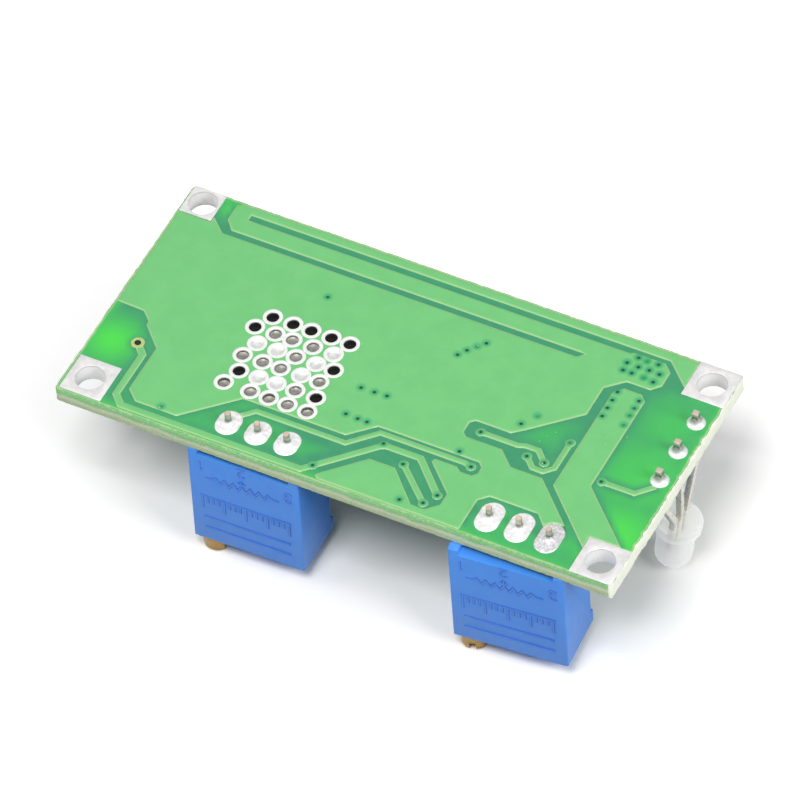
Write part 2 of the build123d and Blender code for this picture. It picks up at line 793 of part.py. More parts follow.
# Inductor: a wound drum inside a square ferrite shield, on two straps
inductor_drum_radius = inductor_side / 2 - inductor_wall - inductor_gap
shield_level = inductor_strap_thickness
shield_plane = hanging_plane(inductor_x, inductor_y, land_face - shield_level)
drum_height = inductor_height - 2 * inductor_gap
coil_height = drum_height - 2 * inductor_flange_height
with BuildPart() as inductor_shield:
    with BuildSketch(shield_plane) as shield_outline:
        Rectangle(inductor_side, inductor_side)
        chamfer(shield_outline.vertices(), inductor_corner)
        Circle(inductor_drum_radius + inductor_gap, mode=Mode.SUBTRACT)
    extrude(amount=inductor_height)
inductor_shield.part.label = "inductor_shield"
export_step(inductor_shield.part, "parts/inductor_shield.step")

with BuildPart() as inductor_drum:
    with BuildSketch(shield_plane.offset(inductor_gap)):
        Circle(inductor_drum_radius)
    extrude(amount=inductor_flange_height)
    with BuildSketch(shield_plane.offset(inductor_gap)):
        Circle(inductor_neck_radius)
    extrude(amount=drum_height)
    with BuildSketch(shield_plane.offset(inductor_gap + drum_height)):
        Circle(inductor_drum_radius)
    extrude(amount=-inductor_flange_height)
inductor_drum.part.label = "inductor_drum"
export_step(inductor_drum.part, "parts/inductor_drum.step")

with BuildPart() as inductor_coil:
    with BuildSketch(shield_plane.offset(inductor_gap + inductor_flange_height + fit_clearance)):
        Circle(inductor_drum_radius - inductor_gap)
        Circle(inductor_neck_radius + fit_clearance, mode=Mode.SUBTRACT)
    extrude(amount=coil_height - 2 * fit_clearance)
inductor_coil.part.label = "inductor_coil"
export_step(inductor_coil.part, "parts/inductor_coil.step")

strap_middle = inductor_strap_thickness / 2
with BuildPart() as inductor_straps:
    for heading in (0, 180):
        with BuildSketch(side_plane(inductor_x, inductor_y, heading)):
            with BuildLine():
                Polyline(
                    (inductor_side / 2 - inductor_strap_foot, strap_middle),
                    (inductor_side / 2 + strap_middle, strap_middle),
                    (inductor_side / 2 + strap_middle, inductor_strap_rise),
                )
            trace(line_width=inductor_strap_thickness)
        extrude(amount=inductor_strap_width / 2, both=True)
inductor_straps.part.label = "inductor_straps"
export_step(inductor_straps.part, "parts/inductor_straps.step")

# Rectifier diode: a block on two straps that are folded under it
with BuildPart() as diode_body:
    with BuildSketch(hanging_plane(diode_x, diode_y, land_face - diode_strap_thickness)):
        Rectangle(diode_length, diode_width)
    extrude(amount=diode_height)
    chamfer(diode_body.faces().sort_by(Axis.Z)[0].edges(), diode_chamfer)
diode_body.part.label = "diode_body"
export_step(diode_body.part, "parts/diode_body.step")

with BuildPart() as diode_straps:
    for heading in (0, 180):
        with BuildSketch(side_plane(diode_x, diode_y, heading)):
            with BuildLine():
                Polyline(
                    (diode_length / 2, diode_strap_level),
                    (diode_bend, diode_strap_level),
                    (diode_bend, diode_strap_thickness / 2),
                    (diode_bend - diode_strap_foot, diode_strap_thickness / 2),
                )
            trace(line_width=diode_strap_thickness)
        extrude(amount=diode_strap_width / 2, both=True)
diode_straps.part.label = "diode_straps"
export_step(diode_straps.part, "parts/diode_straps.step")

# Two-channel amplifier with four leads on each long side
amplifier_steps = (-1.5, -0.5, 0.5, 1.5)
with BuildPart() as amplifier_body:
    with BuildSketch(hanging_plane(amplifier_x, amplifier_y, land_face - package_standoff)):
        Rectangle(amplifier_length, amplifier_width)
    extrude(amount=amplifier_height)
    chamfer(amplifier_body.faces().sort_by(Axis.Z)[0].edges(), package_chamfer)
amplifier_body.part.label = "amplifier_body"
export_step(amplifier_body.part, "parts/amplifier_body.step")

with BuildPart() as amplifier_leads:
    for heading, side in ((90, 1), (-90, -1)):
        for step in amplifier_steps:
            lead_x = amplifier_x + amplifier_lead_pitch * step
            lead_y = amplifier_y + side * amplifier_width / 2
            with BuildSketch(side_plane(lead_x, lead_y, heading)):
                with BuildLine():
                    Polyline(
                        *gull_line(
                            amplifier_height / 2,
                            amplifier_lead_reach,
                            amplifier_foot_length,
                            amplifier_lead_thickness,
                        )
                    )
                trace(line_width=amplifier_lead_thickness)
            extrude(amount=amplifier_lead_width / 2, both=True)
amplifier_leads.part.label = "amplifier_leads"
export_step(amplifier_leads.part, "parts/amplifier_leads.step")

# Small supply regulator for the amplifier: three leads in front, a tab behind
reference_plane = hanging_plane(reference_x, reference_y, land_face)
with BuildPart() as reference_leads:
    with BuildSketch(reference_plane):
        for step in (-1, 0, 1):
            with Locations((reference_lead_pitch * step, reference_width / 2)):
                Rectangle(reference_lead_width, 2 * reference_lead_reach)
        with Locations((0, -reference_width / 2)):
            Rectangle(reference_tab_width, 2 * reference_lead_reach)
    extrude(amount=reference_lead_thickness)
reference_leads.part.label = "reference_leads"
export_step(reference_leads.part, "parts/reference_leads.step")

with BuildPart() as reference_body:
    with BuildSketch(reference_plane):
        Rectangle(reference_length, reference_width)
    extrude(amount=reference_height)
    chamfer(reference_body.faces().sort_by(Axis.Z)[0].edges(), package_chamfer)
    add(reference_leads.part, mode=Mode.SUBTRACT)
reference_body.part.label = "reference_body"
export_step(reference_body.part, "parts/reference_body.step")


def build_chips(name, places, height):
    """Chip resistors or capacitors: a ceramic block with a tinned cap on each end."""
    block_length = chip_length - 2 * chip_end_length
    with BuildPart() as blocks:
        with BuildSketch(Plane.XY.offset(land_face)):
            with Locations(places):
                Rectangle(block_length, chip_width)
        extrude(amount=-height)
    blocks.part.label = f"{name}_blocks"
    export_step(blocks.part, f"parts/{name}_blocks.step")

    end_offset = (block_length + chip_end_length) / 2
    with BuildPart() as ends:
        with BuildSketch(Plane.XY.offset(land_face)):
            for side in (-1, 1):
                with Locations([(x + side * end_offset, y) for x, y in places]):
                    Rectangle(chip_end_length, chip_width)
        extrude(amount=-height)
    ends.part.label = f"{name}_ends"
    export_step(ends.part, f"parts/{name}_ends.step")


build_chips("chip_resistor", chip_resistors_at, chip_height)
build_chips("chip_capacitor", chip_capacitors_at, chip_capacitor_height)

# Tinned lands on the component face, one under each foot
regulator_foot_x = regulator_wall + regulator_lead_reach - regulator_foot_length / 2
amplifier_foot_y = amplifier_width / 2 + amplifier_lead_reach - amplifier_foot_length / 2
chip_land_offset = chip_length / 2
can_lead_middle = (can_lead_gap + can_base_side) / 4 + can_lead_reach / 2
can_land_length = can_base_side / 2 + can_lead_reach - can_lead_gap / 2 + land_margin
with BuildPart() as component_lands:
    with BuildSketch(Plane.XY.offset(land_face)):
        with Locations((regulator_x + regulator_tab_length / 2 - land_margin, regulator_y)):
            Rectangle(regulator_tab_length, regulator_width - 2 * land_margin)
        with Locations([(regulator_foot_x, y) for y in regulator_leads_y]):
            Rectangle(regulator_foot_length + land_margin, regulator_lead_width + land_margin)
        for side in (-1, 1):
            with Locations((input_can_at[0], input_can_at[1] + side * can_lead_middle)):
                Rectangle(can_lead_width + land_margin, can_land_length)
            with Locations((output_can_at[0] + side * can_lead_middle, output_can_at[1])):
                Rectangle(can_land_length, can_lead_width + land_margin)
            with Locations((inductor_x + side * (inductor_side - inductor_strap_foot) / 2, inductor_y)):
                Rectangle(inductor_strap_foot + 2 * land_margin, inductor_strap_width + land_margin)
            with Locations((diode_x + side * (diode_bend - diode_strap_foot / 2), diode_y)):
                Rectangle(diode_strap_foot + 2 * land_margin, diode_strap_width + land_margin)
            with Locations(
                [
                    (amplifier_x + amplifier_lead_pitch * step, amplifier_y + side * amplifier_foot_y)
                    for step in amplifier_steps
                ]
            ):
                Rectangle(amplifier_lead_width + land_margin / 2, amplifier_foot_length + land_margin)
            with Locations([(x + side * chip_land_offset, y) for x, y in chip_resistors_at]):
                Rectangle(2 * chip_end_length, chip_width)
            with Locations([(x + side * chip_land_offset, y) for x, y in chip_capacitors_at]):
                Rectangle(2 * chip_end_length, chip_width)
        for step in (-1, 0, 1):
            with Locations((reference_x + reference_lead_pitch * step, reference_y - reference_width / 2)):
                Rectangle(reference_lead_width + land_margin, 2 * reference_lead_reach)
        with Locations((reference_x, reference_y + reference_width / 2)):
            Rectangle(reference_tab_width + land_margin, 2 * reference_lead_reach)
    extrude(amount=land_thickness)
component_lands.part.label = "component_lands"
export_step(component_lands.part, "parts/component_lands.step")
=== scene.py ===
"""Looks of a small step-down converter board that lies solder side up on a white table.

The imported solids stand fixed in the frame. Here each one gets its finish, and those whose film,
solder or edges show up close get finer meshes in the same place. Sizes inside the classes are in
millimetres, and turn into metres where a mesh is made.
"""

import logging
import math
from dataclasses import dataclass, field
from enum import Enum
from functools import cache
from typing import Iterable, Sequence, Union

import bmesh
import bpy
import numpy as np
from mathutils import Matrix, Vector, noise
from mathutils.geometry import delaunay_2d_cdt


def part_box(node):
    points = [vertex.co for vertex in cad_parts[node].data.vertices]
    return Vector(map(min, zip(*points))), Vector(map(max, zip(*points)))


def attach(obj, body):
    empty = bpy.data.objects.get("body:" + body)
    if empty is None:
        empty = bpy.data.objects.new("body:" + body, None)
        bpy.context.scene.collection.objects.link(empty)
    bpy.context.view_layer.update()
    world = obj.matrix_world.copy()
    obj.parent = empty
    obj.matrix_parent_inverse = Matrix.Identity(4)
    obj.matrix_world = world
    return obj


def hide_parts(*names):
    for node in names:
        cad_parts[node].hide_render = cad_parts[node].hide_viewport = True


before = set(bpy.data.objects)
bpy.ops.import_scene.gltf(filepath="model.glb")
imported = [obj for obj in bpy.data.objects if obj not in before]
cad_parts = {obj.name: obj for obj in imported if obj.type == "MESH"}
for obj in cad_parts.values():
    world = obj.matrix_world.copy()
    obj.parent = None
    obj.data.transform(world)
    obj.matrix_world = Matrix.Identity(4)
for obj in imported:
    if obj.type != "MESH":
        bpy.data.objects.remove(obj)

log = logging.getLogger("converter_board")

MM = 0.001  # a millimetre in the metres of the frame
BOARD = "board"  # the body that everything but the screws rides on
HALF_BOARD = (24.0, 11.5)  # the frame's origin, from the board's front left corner

Colour = tuple[float, float, float, float]
Point = Sequence[float]
Ring = list[Vector]
Line = Sequence[tuple[float, float]]


def shade(red: int, green: int, blue: int) -> Colour:
    """Turns a colour as it is seen, 0 to 255, into the linear one that a shader takes.

    Args:
        red: Red, 0 to 255.
        green: Green, 0 to 255.
        blue: Blue, 0 to 255.

    Returns:
        The linear colour with full alpha.
    """
    # The usual curve of screens: straight near black, a power above that.
    parts = [value / 255 for value in (red, green, blue)]
    linear = [p / 12.92 if p <= 0.04045 else ((p + 0.055) / 1.055) ** 2.4 for p in parts]
    return (linear[0], linear[1], linear[2], 1.0)


def grey(level: float) -> Colour:
    """A grey that a shader takes, 1 for white and more for a light."""
    return (level, level, level, 1.0)


# --------------------------------------------------------------------------- shader maths


class Signal:
    """One output of a shader node, on which plain arithmetic can be written."""

    RANK = {"VALUE": 0, "VECTOR": 1, "RGBA": 2}

    def __init__(self, graph: "Graph", socket: bpy.types.NodeSocket) -> None:
        """Wraps a socket.

        Args:
            graph: The graph that the socket's node belongs to.
            socket: The output socket.
        """
        self.graph = graph
        self.socket = socket

    def _join(self, operation: str, left: "Value", right: "Value") -> "Signal":
        """Adds the node that joins two operands.

        Args:
            operation: ADD, SUBTRACT or MULTIPLY.
            left: The first operand.
            right: The second operand.

        Returns:
            The result, a colour or a vector where one of the operands is one.
        """
        signals = [part for part in (left, right) if isinstance(part, Signal)]
        kind = max((part.socket.type for part in signals), key=lambda name: self.RANK[name])
        if kind == "RGBA":
            settings = {"data_type": "RGBA", "blend_type": operation}
            return self.graph.node("ShaderNodeMix", settings, {0: 1.0, 6: left, 7: right}, 2)
        node = "ShaderNodeVectorMath" if kind == "VECTOR" else "ShaderNodeMath"
        return self.graph.node(node, {"operation": operation}, {0: left, 1: right})

    def __add__(self, other: "Value") -> "Signal":
        """The sum."""
        return self._join("ADD", self, other)

    __radd__ = __add__

    def __sub__(self, other: "Value") -> "Signal":
        """The difference."""
        return self._join("SUBTRACT", self, other)

    def __rsub__(self, other: "Value") -> "Signal":
        """The difference, from a plain number."""
        return self._join("SUBTRACT", other, self)

    def __mul__(self, other: "Value") -> "Signal":
        """The product."""
        return self._join("MULTIPLY", self, other)

    __rmul__ = __mul__

    def clipped(self) -> "Signal":
        """The value kept between 0 and 1."""
        return self.graph.node("ShaderNodeClamp", {}, {0: self})


Value = Union[Signal, float, Colour, Point]
Sockets = dict[Union[int, str], Value]


class Graph:
    """The nodes of one material or world."""

    def __init__(self, tree: bpy.types.NodeTree) -> None:
        """Empties the tree.

        Args:
            tree: The node tree to build in.
        """
        self.tree = tree
        tree.nodes.clear()

    def raw(self, kind: str, settings: dict[str, object], sockets: Sockets) -> bpy.types.Node:
        """Adds a node.

        Args:
            kind: The node's type.
            settings: Its settings, which are set first.
            sockets: A value or a link for each input, by name or place.

        Returns:
            The node.
        """
        node = self.tree.nodes.new(kind)
        for name, setting in settings.items():
            setattr(node, name, setting)
        for key, value in sockets.items():
            socket = node.inputs[key]
            if isinstance(value, Signal):
                self.tree.links.new(value.socket, socket)
            elif socket.type == "VECTOR" and isinstance(value, float):
                socket.default_value = (value, value, value)
            elif socket.type == "RGBA" and isinstance(value, float):
                socket.default_value = (value, value, value, 1.0)
            else:
                socket.default_value = value
        return node

    def node(
        self,
        kind: str,
        settings: dict[str, object],
        sockets: Sockets,
        out: Union[int, str] = 0,
    ) -> Signal:
        """Adds a node and gives one of its outputs.

        Args:
            kind: The node's type.
            settings: Its settings, which are set first.
            sockets: A value or a link for each input, by name or place.
            out: The output, by name or place.

        Returns:
            The output.
        """
        return Signal(self, self.raw(kind, settings, sockets).outputs[out])

    def place(self) -> Signal:
        """The point on the object, in millimetres."""
        return self.node("ShaderNodeTexCoord", {}, {}, "Object") * (1 / MM)

    def axis(self, vector: Signal, name: str) -> Signal:
        """One component of a vector: X, Y or Z."""
        return self.node("ShaderNodeSeparateXYZ", {}, {0: vector}, name)

    def noise(self, grain: float, detail: float = 3.0, stretch: Point = (1, 1, 1)) -> Signal:
        """Soft random mottling.

        Args:
            grain: Size of its patches in millimetres.
            detail: How many finer layers it has.
            stretch: How much finer it is along each axis.

        Returns:
            A value about 0.5, between 0 and 1.
        """
        point = self.place() * tuple(stretch)
        sockets = {"Vector": point, "Scale": 1 / grain, "Detail": detail}
        return self.node("ShaderNodeTexNoise", {}, sockets)

    def rise(self, value: Value, low: float, high: float) -> Signal:
        """A soft step: 0 below low, 1 above high.

        Args:
            value: What is compared.
            low: Where the step begins.
            high: Where it ends.

        Returns:
            The step.
        """
        settings = {"interpolation_type": "SMOOTHSTEP", "clamp": True}
        sockets = {"Value": value, "From Min": low, "From Max": high}
        return self.node("ShaderNodeMapRange", settings, sockets)

    def blend(self, mask: Value, low: Value, high: Value) -> Signal:
        """Blends two colours.

        Args:
            mask: 0 for the first colour, 1 for the second.
            low: The first colour.
            high: The second colour.

        Returns:
            The blend.
        """
        return self.node("ShaderNodeMix", {"data_type": "RGBA"}, {0: mask, 6: low, 7: high}, 2)

    def bump(self, height: Signal, depth: float) -> Signal:
        """Relief for a shader's normal.

        Args:
            height: The relief, 0 to 1.
            depth: What a rise of 1 stands for, in millimetres.

        Returns:
            The normal.
        """
        sockets = {"Height": height, "Strength": 1.0, "Distance": depth * MM}
        return self.node("ShaderNodeBump", {}, sockets)

    def mark(self, name: str) -> Signal:
        """A value that the mesh carries at its corners."""
        return self.node("ShaderNodeAttribute", {"attribute_name": name}, {}, "Fac")


# --------------------------------------------------------------------------- finishes


@dataclass(frozen=True)
class Finish:
    """A finish that mottles between two colours and has a fine relief.

    Attributes:
        name: The material's name.
        colour: Its main colour.
        second: The colour of its patches.
        grain: Size of the patches in millimetres.
        patchiness: How much the second colour comes through.
        roughness: Roughness in the middle of its range.
        unevenness: How far the roughness swings.
        metallic: 1 for bare metal.
        relief: Depth of the fine relief in millimetres.
        relief_grain: Size of the relief's features in millimetres.
        stretch: How much finer the patches are along each axis.
        cover: How much it hides what lies behind it, 1 for all.
    """

    name: str
    colour: Colour
    second: Colour
    grain: float = 1.0
    patchiness: float = 0.5
    roughness: float = 0.5
    unevenness: float = 0.1
    metallic: float = 0.0
    relief: float = 0.0
    relief_grain: float = 0.2
    stretch: tuple[float, float, float] = (1, 1, 1)
    cover: float = 1.0

    PATCH_EDGE = (0.35, 0.65)  # where in the mottling a patch begins and is full
    FINER = 0.6  # the grain of the roughness, as a part of the colour's

    def tint(self, graph: Graph) -> Value:
        """The colour over the surface.

        Args:
            graph: The material's nodes.

        Returns:
            The colour.
        """
        patches = graph.rise(graph.noise(self.grain, 4.0, self.stretch), *self.PATCH_EDGE)
        return graph.blend(patches * self.patchiness, self.colour, self.second)

    def dullness(self, graph: Graph) -> Value:
        """The roughness over the surface.

        Args:
            graph: The material's nodes.

        Returns:
            The roughness.
        """
        mottling = graph.noise(self.grain * self.FINER, 2.0, self.stretch) - 0.5
        return (mottling * (2 * self.unevenness) + self.roughness).clipped()

    def relief_signal(self, graph: Graph) -> Signal:
        """The height of the fine relief, 0 to 1."""
        return graph.noise(self.relief_grain, 3.0, self.stretch)

    def paint(self, graph: Graph) -> Sockets:
        """Works out what changes over the surface.

        Args:
            graph: The material's nodes.

        Returns:
            The shader's sockets with their values.
        """
        sockets: Sockets = {
            "Base Color": self.tint(graph),
            "Roughness": self.dullness(graph),
            "Metallic": self.metallic,
            "Alpha": self.cover,
        }
        if self.relief:
            sockets["Normal"] = graph.bump(self.relief_signal(graph), self.relief)
        return sockets

    def build(self) -> bpy.types.Material:
        """Makes the material.

        Returns:
            The material.
        """
        material = bpy.data.materials.new(self.name)
        material.use_nodes = True
        graph = Graph(material.node_tree)
        surface = graph.node("ShaderNodeBsdfPrincipled", {}, self.paint(graph))
        graph.raw("ShaderNodeOutputMaterial", {}, {"Surface": surface})
        return material


@cache
def material_of(finish: Finish) -> bpy.types.Material:
    """The one material that a finish stands for."""
    return finish.build()


@dataclass(frozen=True)
class MaskFinish(Finish):
    """Green solder mask, read from the marks that a film carries.

    Attributes:
        edge_colour: The paler line where the copper's shoulder thins the mask.
        lit_through_colour: Painted light: the mask over bare laminate, as bright as the light that
            comes through it.
        pit_shade_colour: The dark bottom of a filled via, a painted shade.
        halo_colour: The brighter mask that has run off a via's ring.
        fibre_colour: The cut edge where the mask stops.
        edge_width: How wide the paler line is.
        edge_strength: How strongly it shows, 0 to 1.
        waver: How far the line strays.
    """

    edge_colour: Colour = shade(172, 210, 146)
    lit_through_colour: Colour = shade(78, 228, 78)
    pit_shade_colour: Colour = shade(6, 46, 38)
    halo_colour: Colour = shade(50, 176, 112)
    fibre_colour: Colour = shade(200, 216, 168)
    edge_width: float = 0.12
    edge_strength: float = 0.8
    waver: float = 0.08

    WAVER_GRAIN = 0.35
    LINE_FADE = (0.6, 1.2)  # where the line begins to fade and is gone, as parts of its width

    def tint(self, graph: Graph) -> Value:
        """The mask's colour: painted light through bare laminate, edge, halo and the pit's painted
        shade laid over the plain green.

        Args:
            graph: The material's nodes.

        Returns:
            The colour.
        """
        plain = super().tint(graph)
        # Painted light: brighter green where light comes up through bare laminate.
        lit = graph.blend(graph.mark("bare"), plain, self.lit_through_colour)
        wavering = graph.mark("edge") + (graph.noise(self.WAVER_GRAIN, 2.0) - 0.5) * self.waver
        line = 1 - graph.rise(wavering, *(part * self.edge_width for part in self.LINE_FADE))
        strength = line * graph.mark("rimmed") * self.edge_strength
        rimmed = graph.blend(strength, lit, self.edge_colour)
        haloed = graph.blend(graph.mark("halo"), rimmed, self.halo_colour)
        # Painted shade in the dip over each via.
        pitted = graph.blend(graph.mark("pit"), haloed, self.pit_shade_colour)
        return graph.blend(graph.mark("cut"), pitted, self.fibre_colour)


@dataclass(frozen=True)
class FibreFinish(Finish):
    """Cut glass-fibre edge: green where the mask has run over it, frayed pale bundles below.

    Attributes:
        low: Height of the edge's foot over the table.
        high: Height of its top.
        pale_from: Place along the board beyond which the sawn end is paler, partly for its frayed
            fibres and partly as painted light on the end that faces the right lamp.
        green: The mask that has run over.
        frayed: The fibres' ends.
        pitted: The hollows between the fibres.
        glow: A painted glow for the light that comes through the long edges.
        end_glow: A brighter painted glow for the light that comes through the pale end.
    """

    low: float = 11.65
    high: float = 13.05
    pale_from: float = 23.6
    green: Colour = shade(122, 208, 126)
    frayed: Colour = shade(246, 250, 236)
    pitted: Colour = shade(128, 158, 104)
    glow: Colour = (0.04, 0.05, 0.03, 1.0)
    end_glow: Colour = (0.25, 0.26, 0.21, 1.0)

    # Each pair says where a feature begins and is full, as parts of the edge's height.
    MASK_RUN = (0.42, 0.78)
    LINE_RISE = (0.3, 0.48)
    LINE_FALL = (0.5, 0.72)
    FOOT = (0.02, 0.16)
    # These two say the same for the mottling that stands for strands and hollows.
    STRANDS = (0.52, 0.66)
    HOLLOWS = (0.64, 0.74)

    def pale_end(self, graph: Graph) -> Signal:
        """1 on the pale end, 0 along the long edges."""
        along = graph.axis(graph.place(), "X")
        return graph.rise(along, self.pale_from, self.pale_from + 0.1)

    def level(self, graph: Graph) -> Signal:
        """The height in the edge, 0 at its foot and 1 at its top, with a slow ripple."""
        over_foot = graph.axis(graph.place(), "Z") - self.low
        return over_foot * (1 / (self.high - self.low)) + (graph.noise(1.6, 3.0) - 0.5) * 0.4

    def paint(self, graph: Graph) -> Sockets:
        """The cut edge, with a painted glow for the light that comes through it.

        Args:
            graph: The material's nodes.

        Returns:
            The shader's sockets with their values.
        """
        sockets = super().paint(graph)
        # Painted light: the edge glows, most on the pale end.
        sockets["Emission Color"] = graph.blend(self.pale_end(graph), self.glow, self.end_glow)
        sockets["Emission Strength"] = 1.0
        return sockets

    def tint(self, graph: Graph) -> Value:
        """The cut edge's colour.

        Args:
            graph: The material's nodes.

        Returns:
            The colour.
        """
        end, level = self.pale_end(graph), self.level(graph)
        run = graph.rise(level, *self.MASK_RUN) * (1 - end * 0.9)
        masked = graph.blend(run * 0.9, super().tint(graph), self.green)
        line = graph.rise(level, *self.LINE_RISE) * (1 - graph.rise(level, *self.LINE_FALL))
        foot = 1 - graph.rise(level, *self.FOOT)
        strands = graph.rise(graph.noise(0.16, 4.0, (1, 1, 2.5)), *self.STRANDS)
        # The pale end: frayed fibres, and painted light for the light on the end that faces the
        # right lamp.
        bundles = (line * 0.5 + foot * 0.45 + strands * 0.4 + end * 0.95).clipped()
        pale = graph.blend(bundles, masked, self.frayed)
        hollows = graph.rise(graph.noise(0.3, 3.0, (1, 1, 2.0)), *self.HOLLOWS)
        return graph.blend(hollows * 0.4, pale, self.pitted)


@dataclass(frozen=True)
class WireFinish(Finish):
    """Tinned wire, darker with painted shade where it leaves the solder, whose clipped end shows
    the copper.

    Attributes:
        tip_level: Height over the table at which the clipped end begins.
        root_level: Height at which the wire leaves the solder.
        copper: The colour of the cut copper.
        root_shade: The painted shade on the wire at its root.
    """

    tip_level: float = 14.06
    root_level: float = 13.35
    copper: Colour = shade(222, 190, 174)
    root_shade: Colour = shade(72, 86, 70)

    ROOT_SHADE_RISE = (-0.35, 0.0)  # where the painted shade begins and is full, from the root
    ROOT_SHADE_FALL = (0.15, 0.6)  # where it fades and is gone, from the root
    TIP_RISE = (0.0, 0.14)  # where the copper begins and is full, from the clipped end

    def step(self, graph: Graph, level: float, reach: tuple[float, float]) -> Signal:
        """A soft step up the wire.

        Args:
            graph: The material's nodes.
            level: A height over the table.
            reach: Where the step begins and ends, from that height.

        Returns:
            The step, 0 below and 1 above.
        """
        return graph.rise(graph.axis(graph.place(), "Z"), level + reach[0], level + reach[1])

    def tint(self, graph: Graph) -> Value:
        """Tin along the wire, painted shade at its root, copper on its clipped end.

        Args:
            graph: The material's nodes.

        Returns:
            The colour.
        """
        root = self.step(graph, self.root_level, self.ROOT_SHADE_RISE)
        free = self.step(graph, self.root_level, self.ROOT_SHADE_FALL)
        root_shaded = graph.blend(root * (1 - free) * 0.8, super().tint(graph), self.root_shade)
        tip = self.step(graph, self.tip_level, self.TIP_RISE)
        return graph.blend(tip * 0.85, root_shaded, self.copper)


@dataclass(frozen=True)
class JointFinish(Finish):
    """Solder that is darker where it climbs the wire, a painted shade round the wire's root.

    Attributes:
        low: Height over the table at which the painted shade begins.
        high: Height at which the painted shade is full.
        climb_shade: The colour of the painted shade.
    """

    low: float = 13.2
    high: float = 13.5
    climb_shade: Colour = shade(158, 158, 152)

    def tint(self, graph: Graph) -> Value:
        """Bright solder, with painted shade towards the wire."""
        climb = graph.rise(graph.axis(graph.place(), "Z"), self.low, self.high)
        return graph.blend(climb * 0.9, super().tint(graph), self.climb_shade)


@dataclass(frozen=True)
class PadFinish(Finish):
    """Tinned pad: metal on the face, brighter and paler down its hole, where the paler colour is
    painted light on the hole's wall.

    Attributes:
        face: Height over the table of the lowest part of the face.
        barrel: The colour down the hole, painted light.
    """

    face: float = 13.02
    barrel: Colour = shade(252, 252, 250)

    def paint(self, graph: Graph) -> Sockets:
        """Tin on the face, the pale barrel below, which is painted light.

        Args:
            graph: The material's nodes.

        Returns:
            The shader's sockets with their values.
        """
        sockets = super().paint(graph)
        # Painted light: the hole's wall is paler and not metal.
        upper = graph.rise(graph.axis(graph.place(), "Z"), self.face - 0.05, self.face)
        sockets["Base Color"] = graph.blend(upper, self.barrel, sockets["Base Color"])
        sockets["Metallic"] = upper * self.metallic
        return sockets


@dataclass(frozen=True)
class ResinFinish(Finish):
    """Milky cast resin: hazy seen straight on, denser towards its outline.

    Attributes:
        rim_cover: How much more it hides at its outline.
        painted_glow: A painted glow for the light that its body scatters.
    """

    rim_cover: float = 0.5
    painted_glow: float = 0.3

    def paint(self, graph: Graph) -> Sockets:
        """Resin with its painted glow and its denser outline.

        Args:
            graph: The material's nodes.

        Returns:
            The shader's sockets with their values.
        """
        sockets = super().paint(graph)
        outline = graph.node("ShaderNodeLayerWeight", {}, {"Blend": 0.35}, "Facing")
        sockets["Alpha"] = (outline * self.rim_cover + self.cover).clipped()
        # Painted light: the resin glows with the light that its body scatters.
        sockets["Emission Color"] = grey(self.painted_glow)
        sockets["Emission Strength"] = 1.0
        return sockets


@dataclass(frozen=True)
class CanFinish(Finish):
    """Aluminium can with the printed dark sector that marks its negative side.

    Attributes:
        centre: The can's axis over the table.
        heading: Which way the negative side lies, in degrees.
        end_level: Height of the can's flat end.
        print_from: How far from the axis the print begins.
        ink: The print's colour.
    """

    centre: tuple[float, float] = (0.0, 0.0)
    heading: float = 0.0
    end_level: float = 1.35
    print_from: float = 1.9
    ink: Colour = shade(28, 28, 30)

    def tint(self, graph: Graph) -> Value:
        """Bright metal with the dark sector on its flat end.

        Args:
            graph: The material's nodes.

        Returns:
            The colour.
        """
        place = graph.place()
        run = math.radians(self.heading)
        across = graph.axis(place, "X") * math.cos(run) + graph.axis(place, "Y") * math.sin(run)
        offset = self.centre[0] * math.cos(run) + self.centre[1] * math.sin(run)
        sector = graph.rise(across - offset, self.print_from, self.print_from + 0.06)
        height = graph.axis(place, "Z")
        flat = 1 - graph.rise(height, self.end_level + 0.02, self.end_level + 0.06)
        return graph.blend(sector * flat, super().tint(graph), self.ink)


MASKED_COPPER = MaskFinish(
    "masked_copper", shade(117, 205, 125), shade(125, 212, 132),
    grain=2.2, patchiness=0.6, roughness=0.36, unevenness=0.06, relief=0.004, relief_grain=0.25,
)
MASKED_LAMINATE = MaskFinish(
    "masked_laminate", shade(54, 150, 106), shade(62, 158, 112),
    grain=1.2, patchiness=0.6, roughness=0.36, unevenness=0.06, relief=0.004, relief_grain=0.25,
)
FIBRE_EDGE = FibreFinish(
    "fibre_edge", shade(192, 216, 160), shade(208, 228, 180),
    grain=0.6, roughness=0.8, relief=0.03, relief_grain=0.12, stretch=(1, 1, 2.0),
)
TINNED_PAD = PadFinish(
    "tinned_pad", shade(238, 236, 235), shade(216, 214, 214),
    grain=0.5, patchiness=0.55, roughness=0.42, unevenness=0.14, metallic=0.35,
    relief=0.02, relief_grain=0.22,
)
RING_TIN = Finish(
    "ring_tin", shade(252, 252, 250), shade(232, 232, 230),
    grain=0.4, patchiness=0.5, roughness=0.4, unevenness=0.12, metallic=0.3,
    relief=0.015, relief_grain=0.2,
)
DULL_SOLDER = Finish(
    "dull_solder", shade(150, 148, 142), shade(112, 110, 106),
    grain=0.3, patchiness=0.6, roughness=0.45, metallic=0.8, relief=0.015, relief_grain=0.15,
)
SOLDER = Finish(
    "solder", shade(222, 222, 220), shade(190, 192, 192),
    grain=0.4, patchiness=0.5, roughness=0.34, unevenness=0.12, metallic=0.85,
    relief=0.015, relief_grain=0.2,
)
TRIMMER_JOINT = JointFinish(
    "trimmer_joint", shade(250, 249, 248), shade(216, 213, 214),
    grain=0.3, patchiness=0.6, roughness=0.4, unevenness=0.12, metallic=0.45,
    relief=0.03, relief_grain=0.2, low=13.3, high=13.5,
)
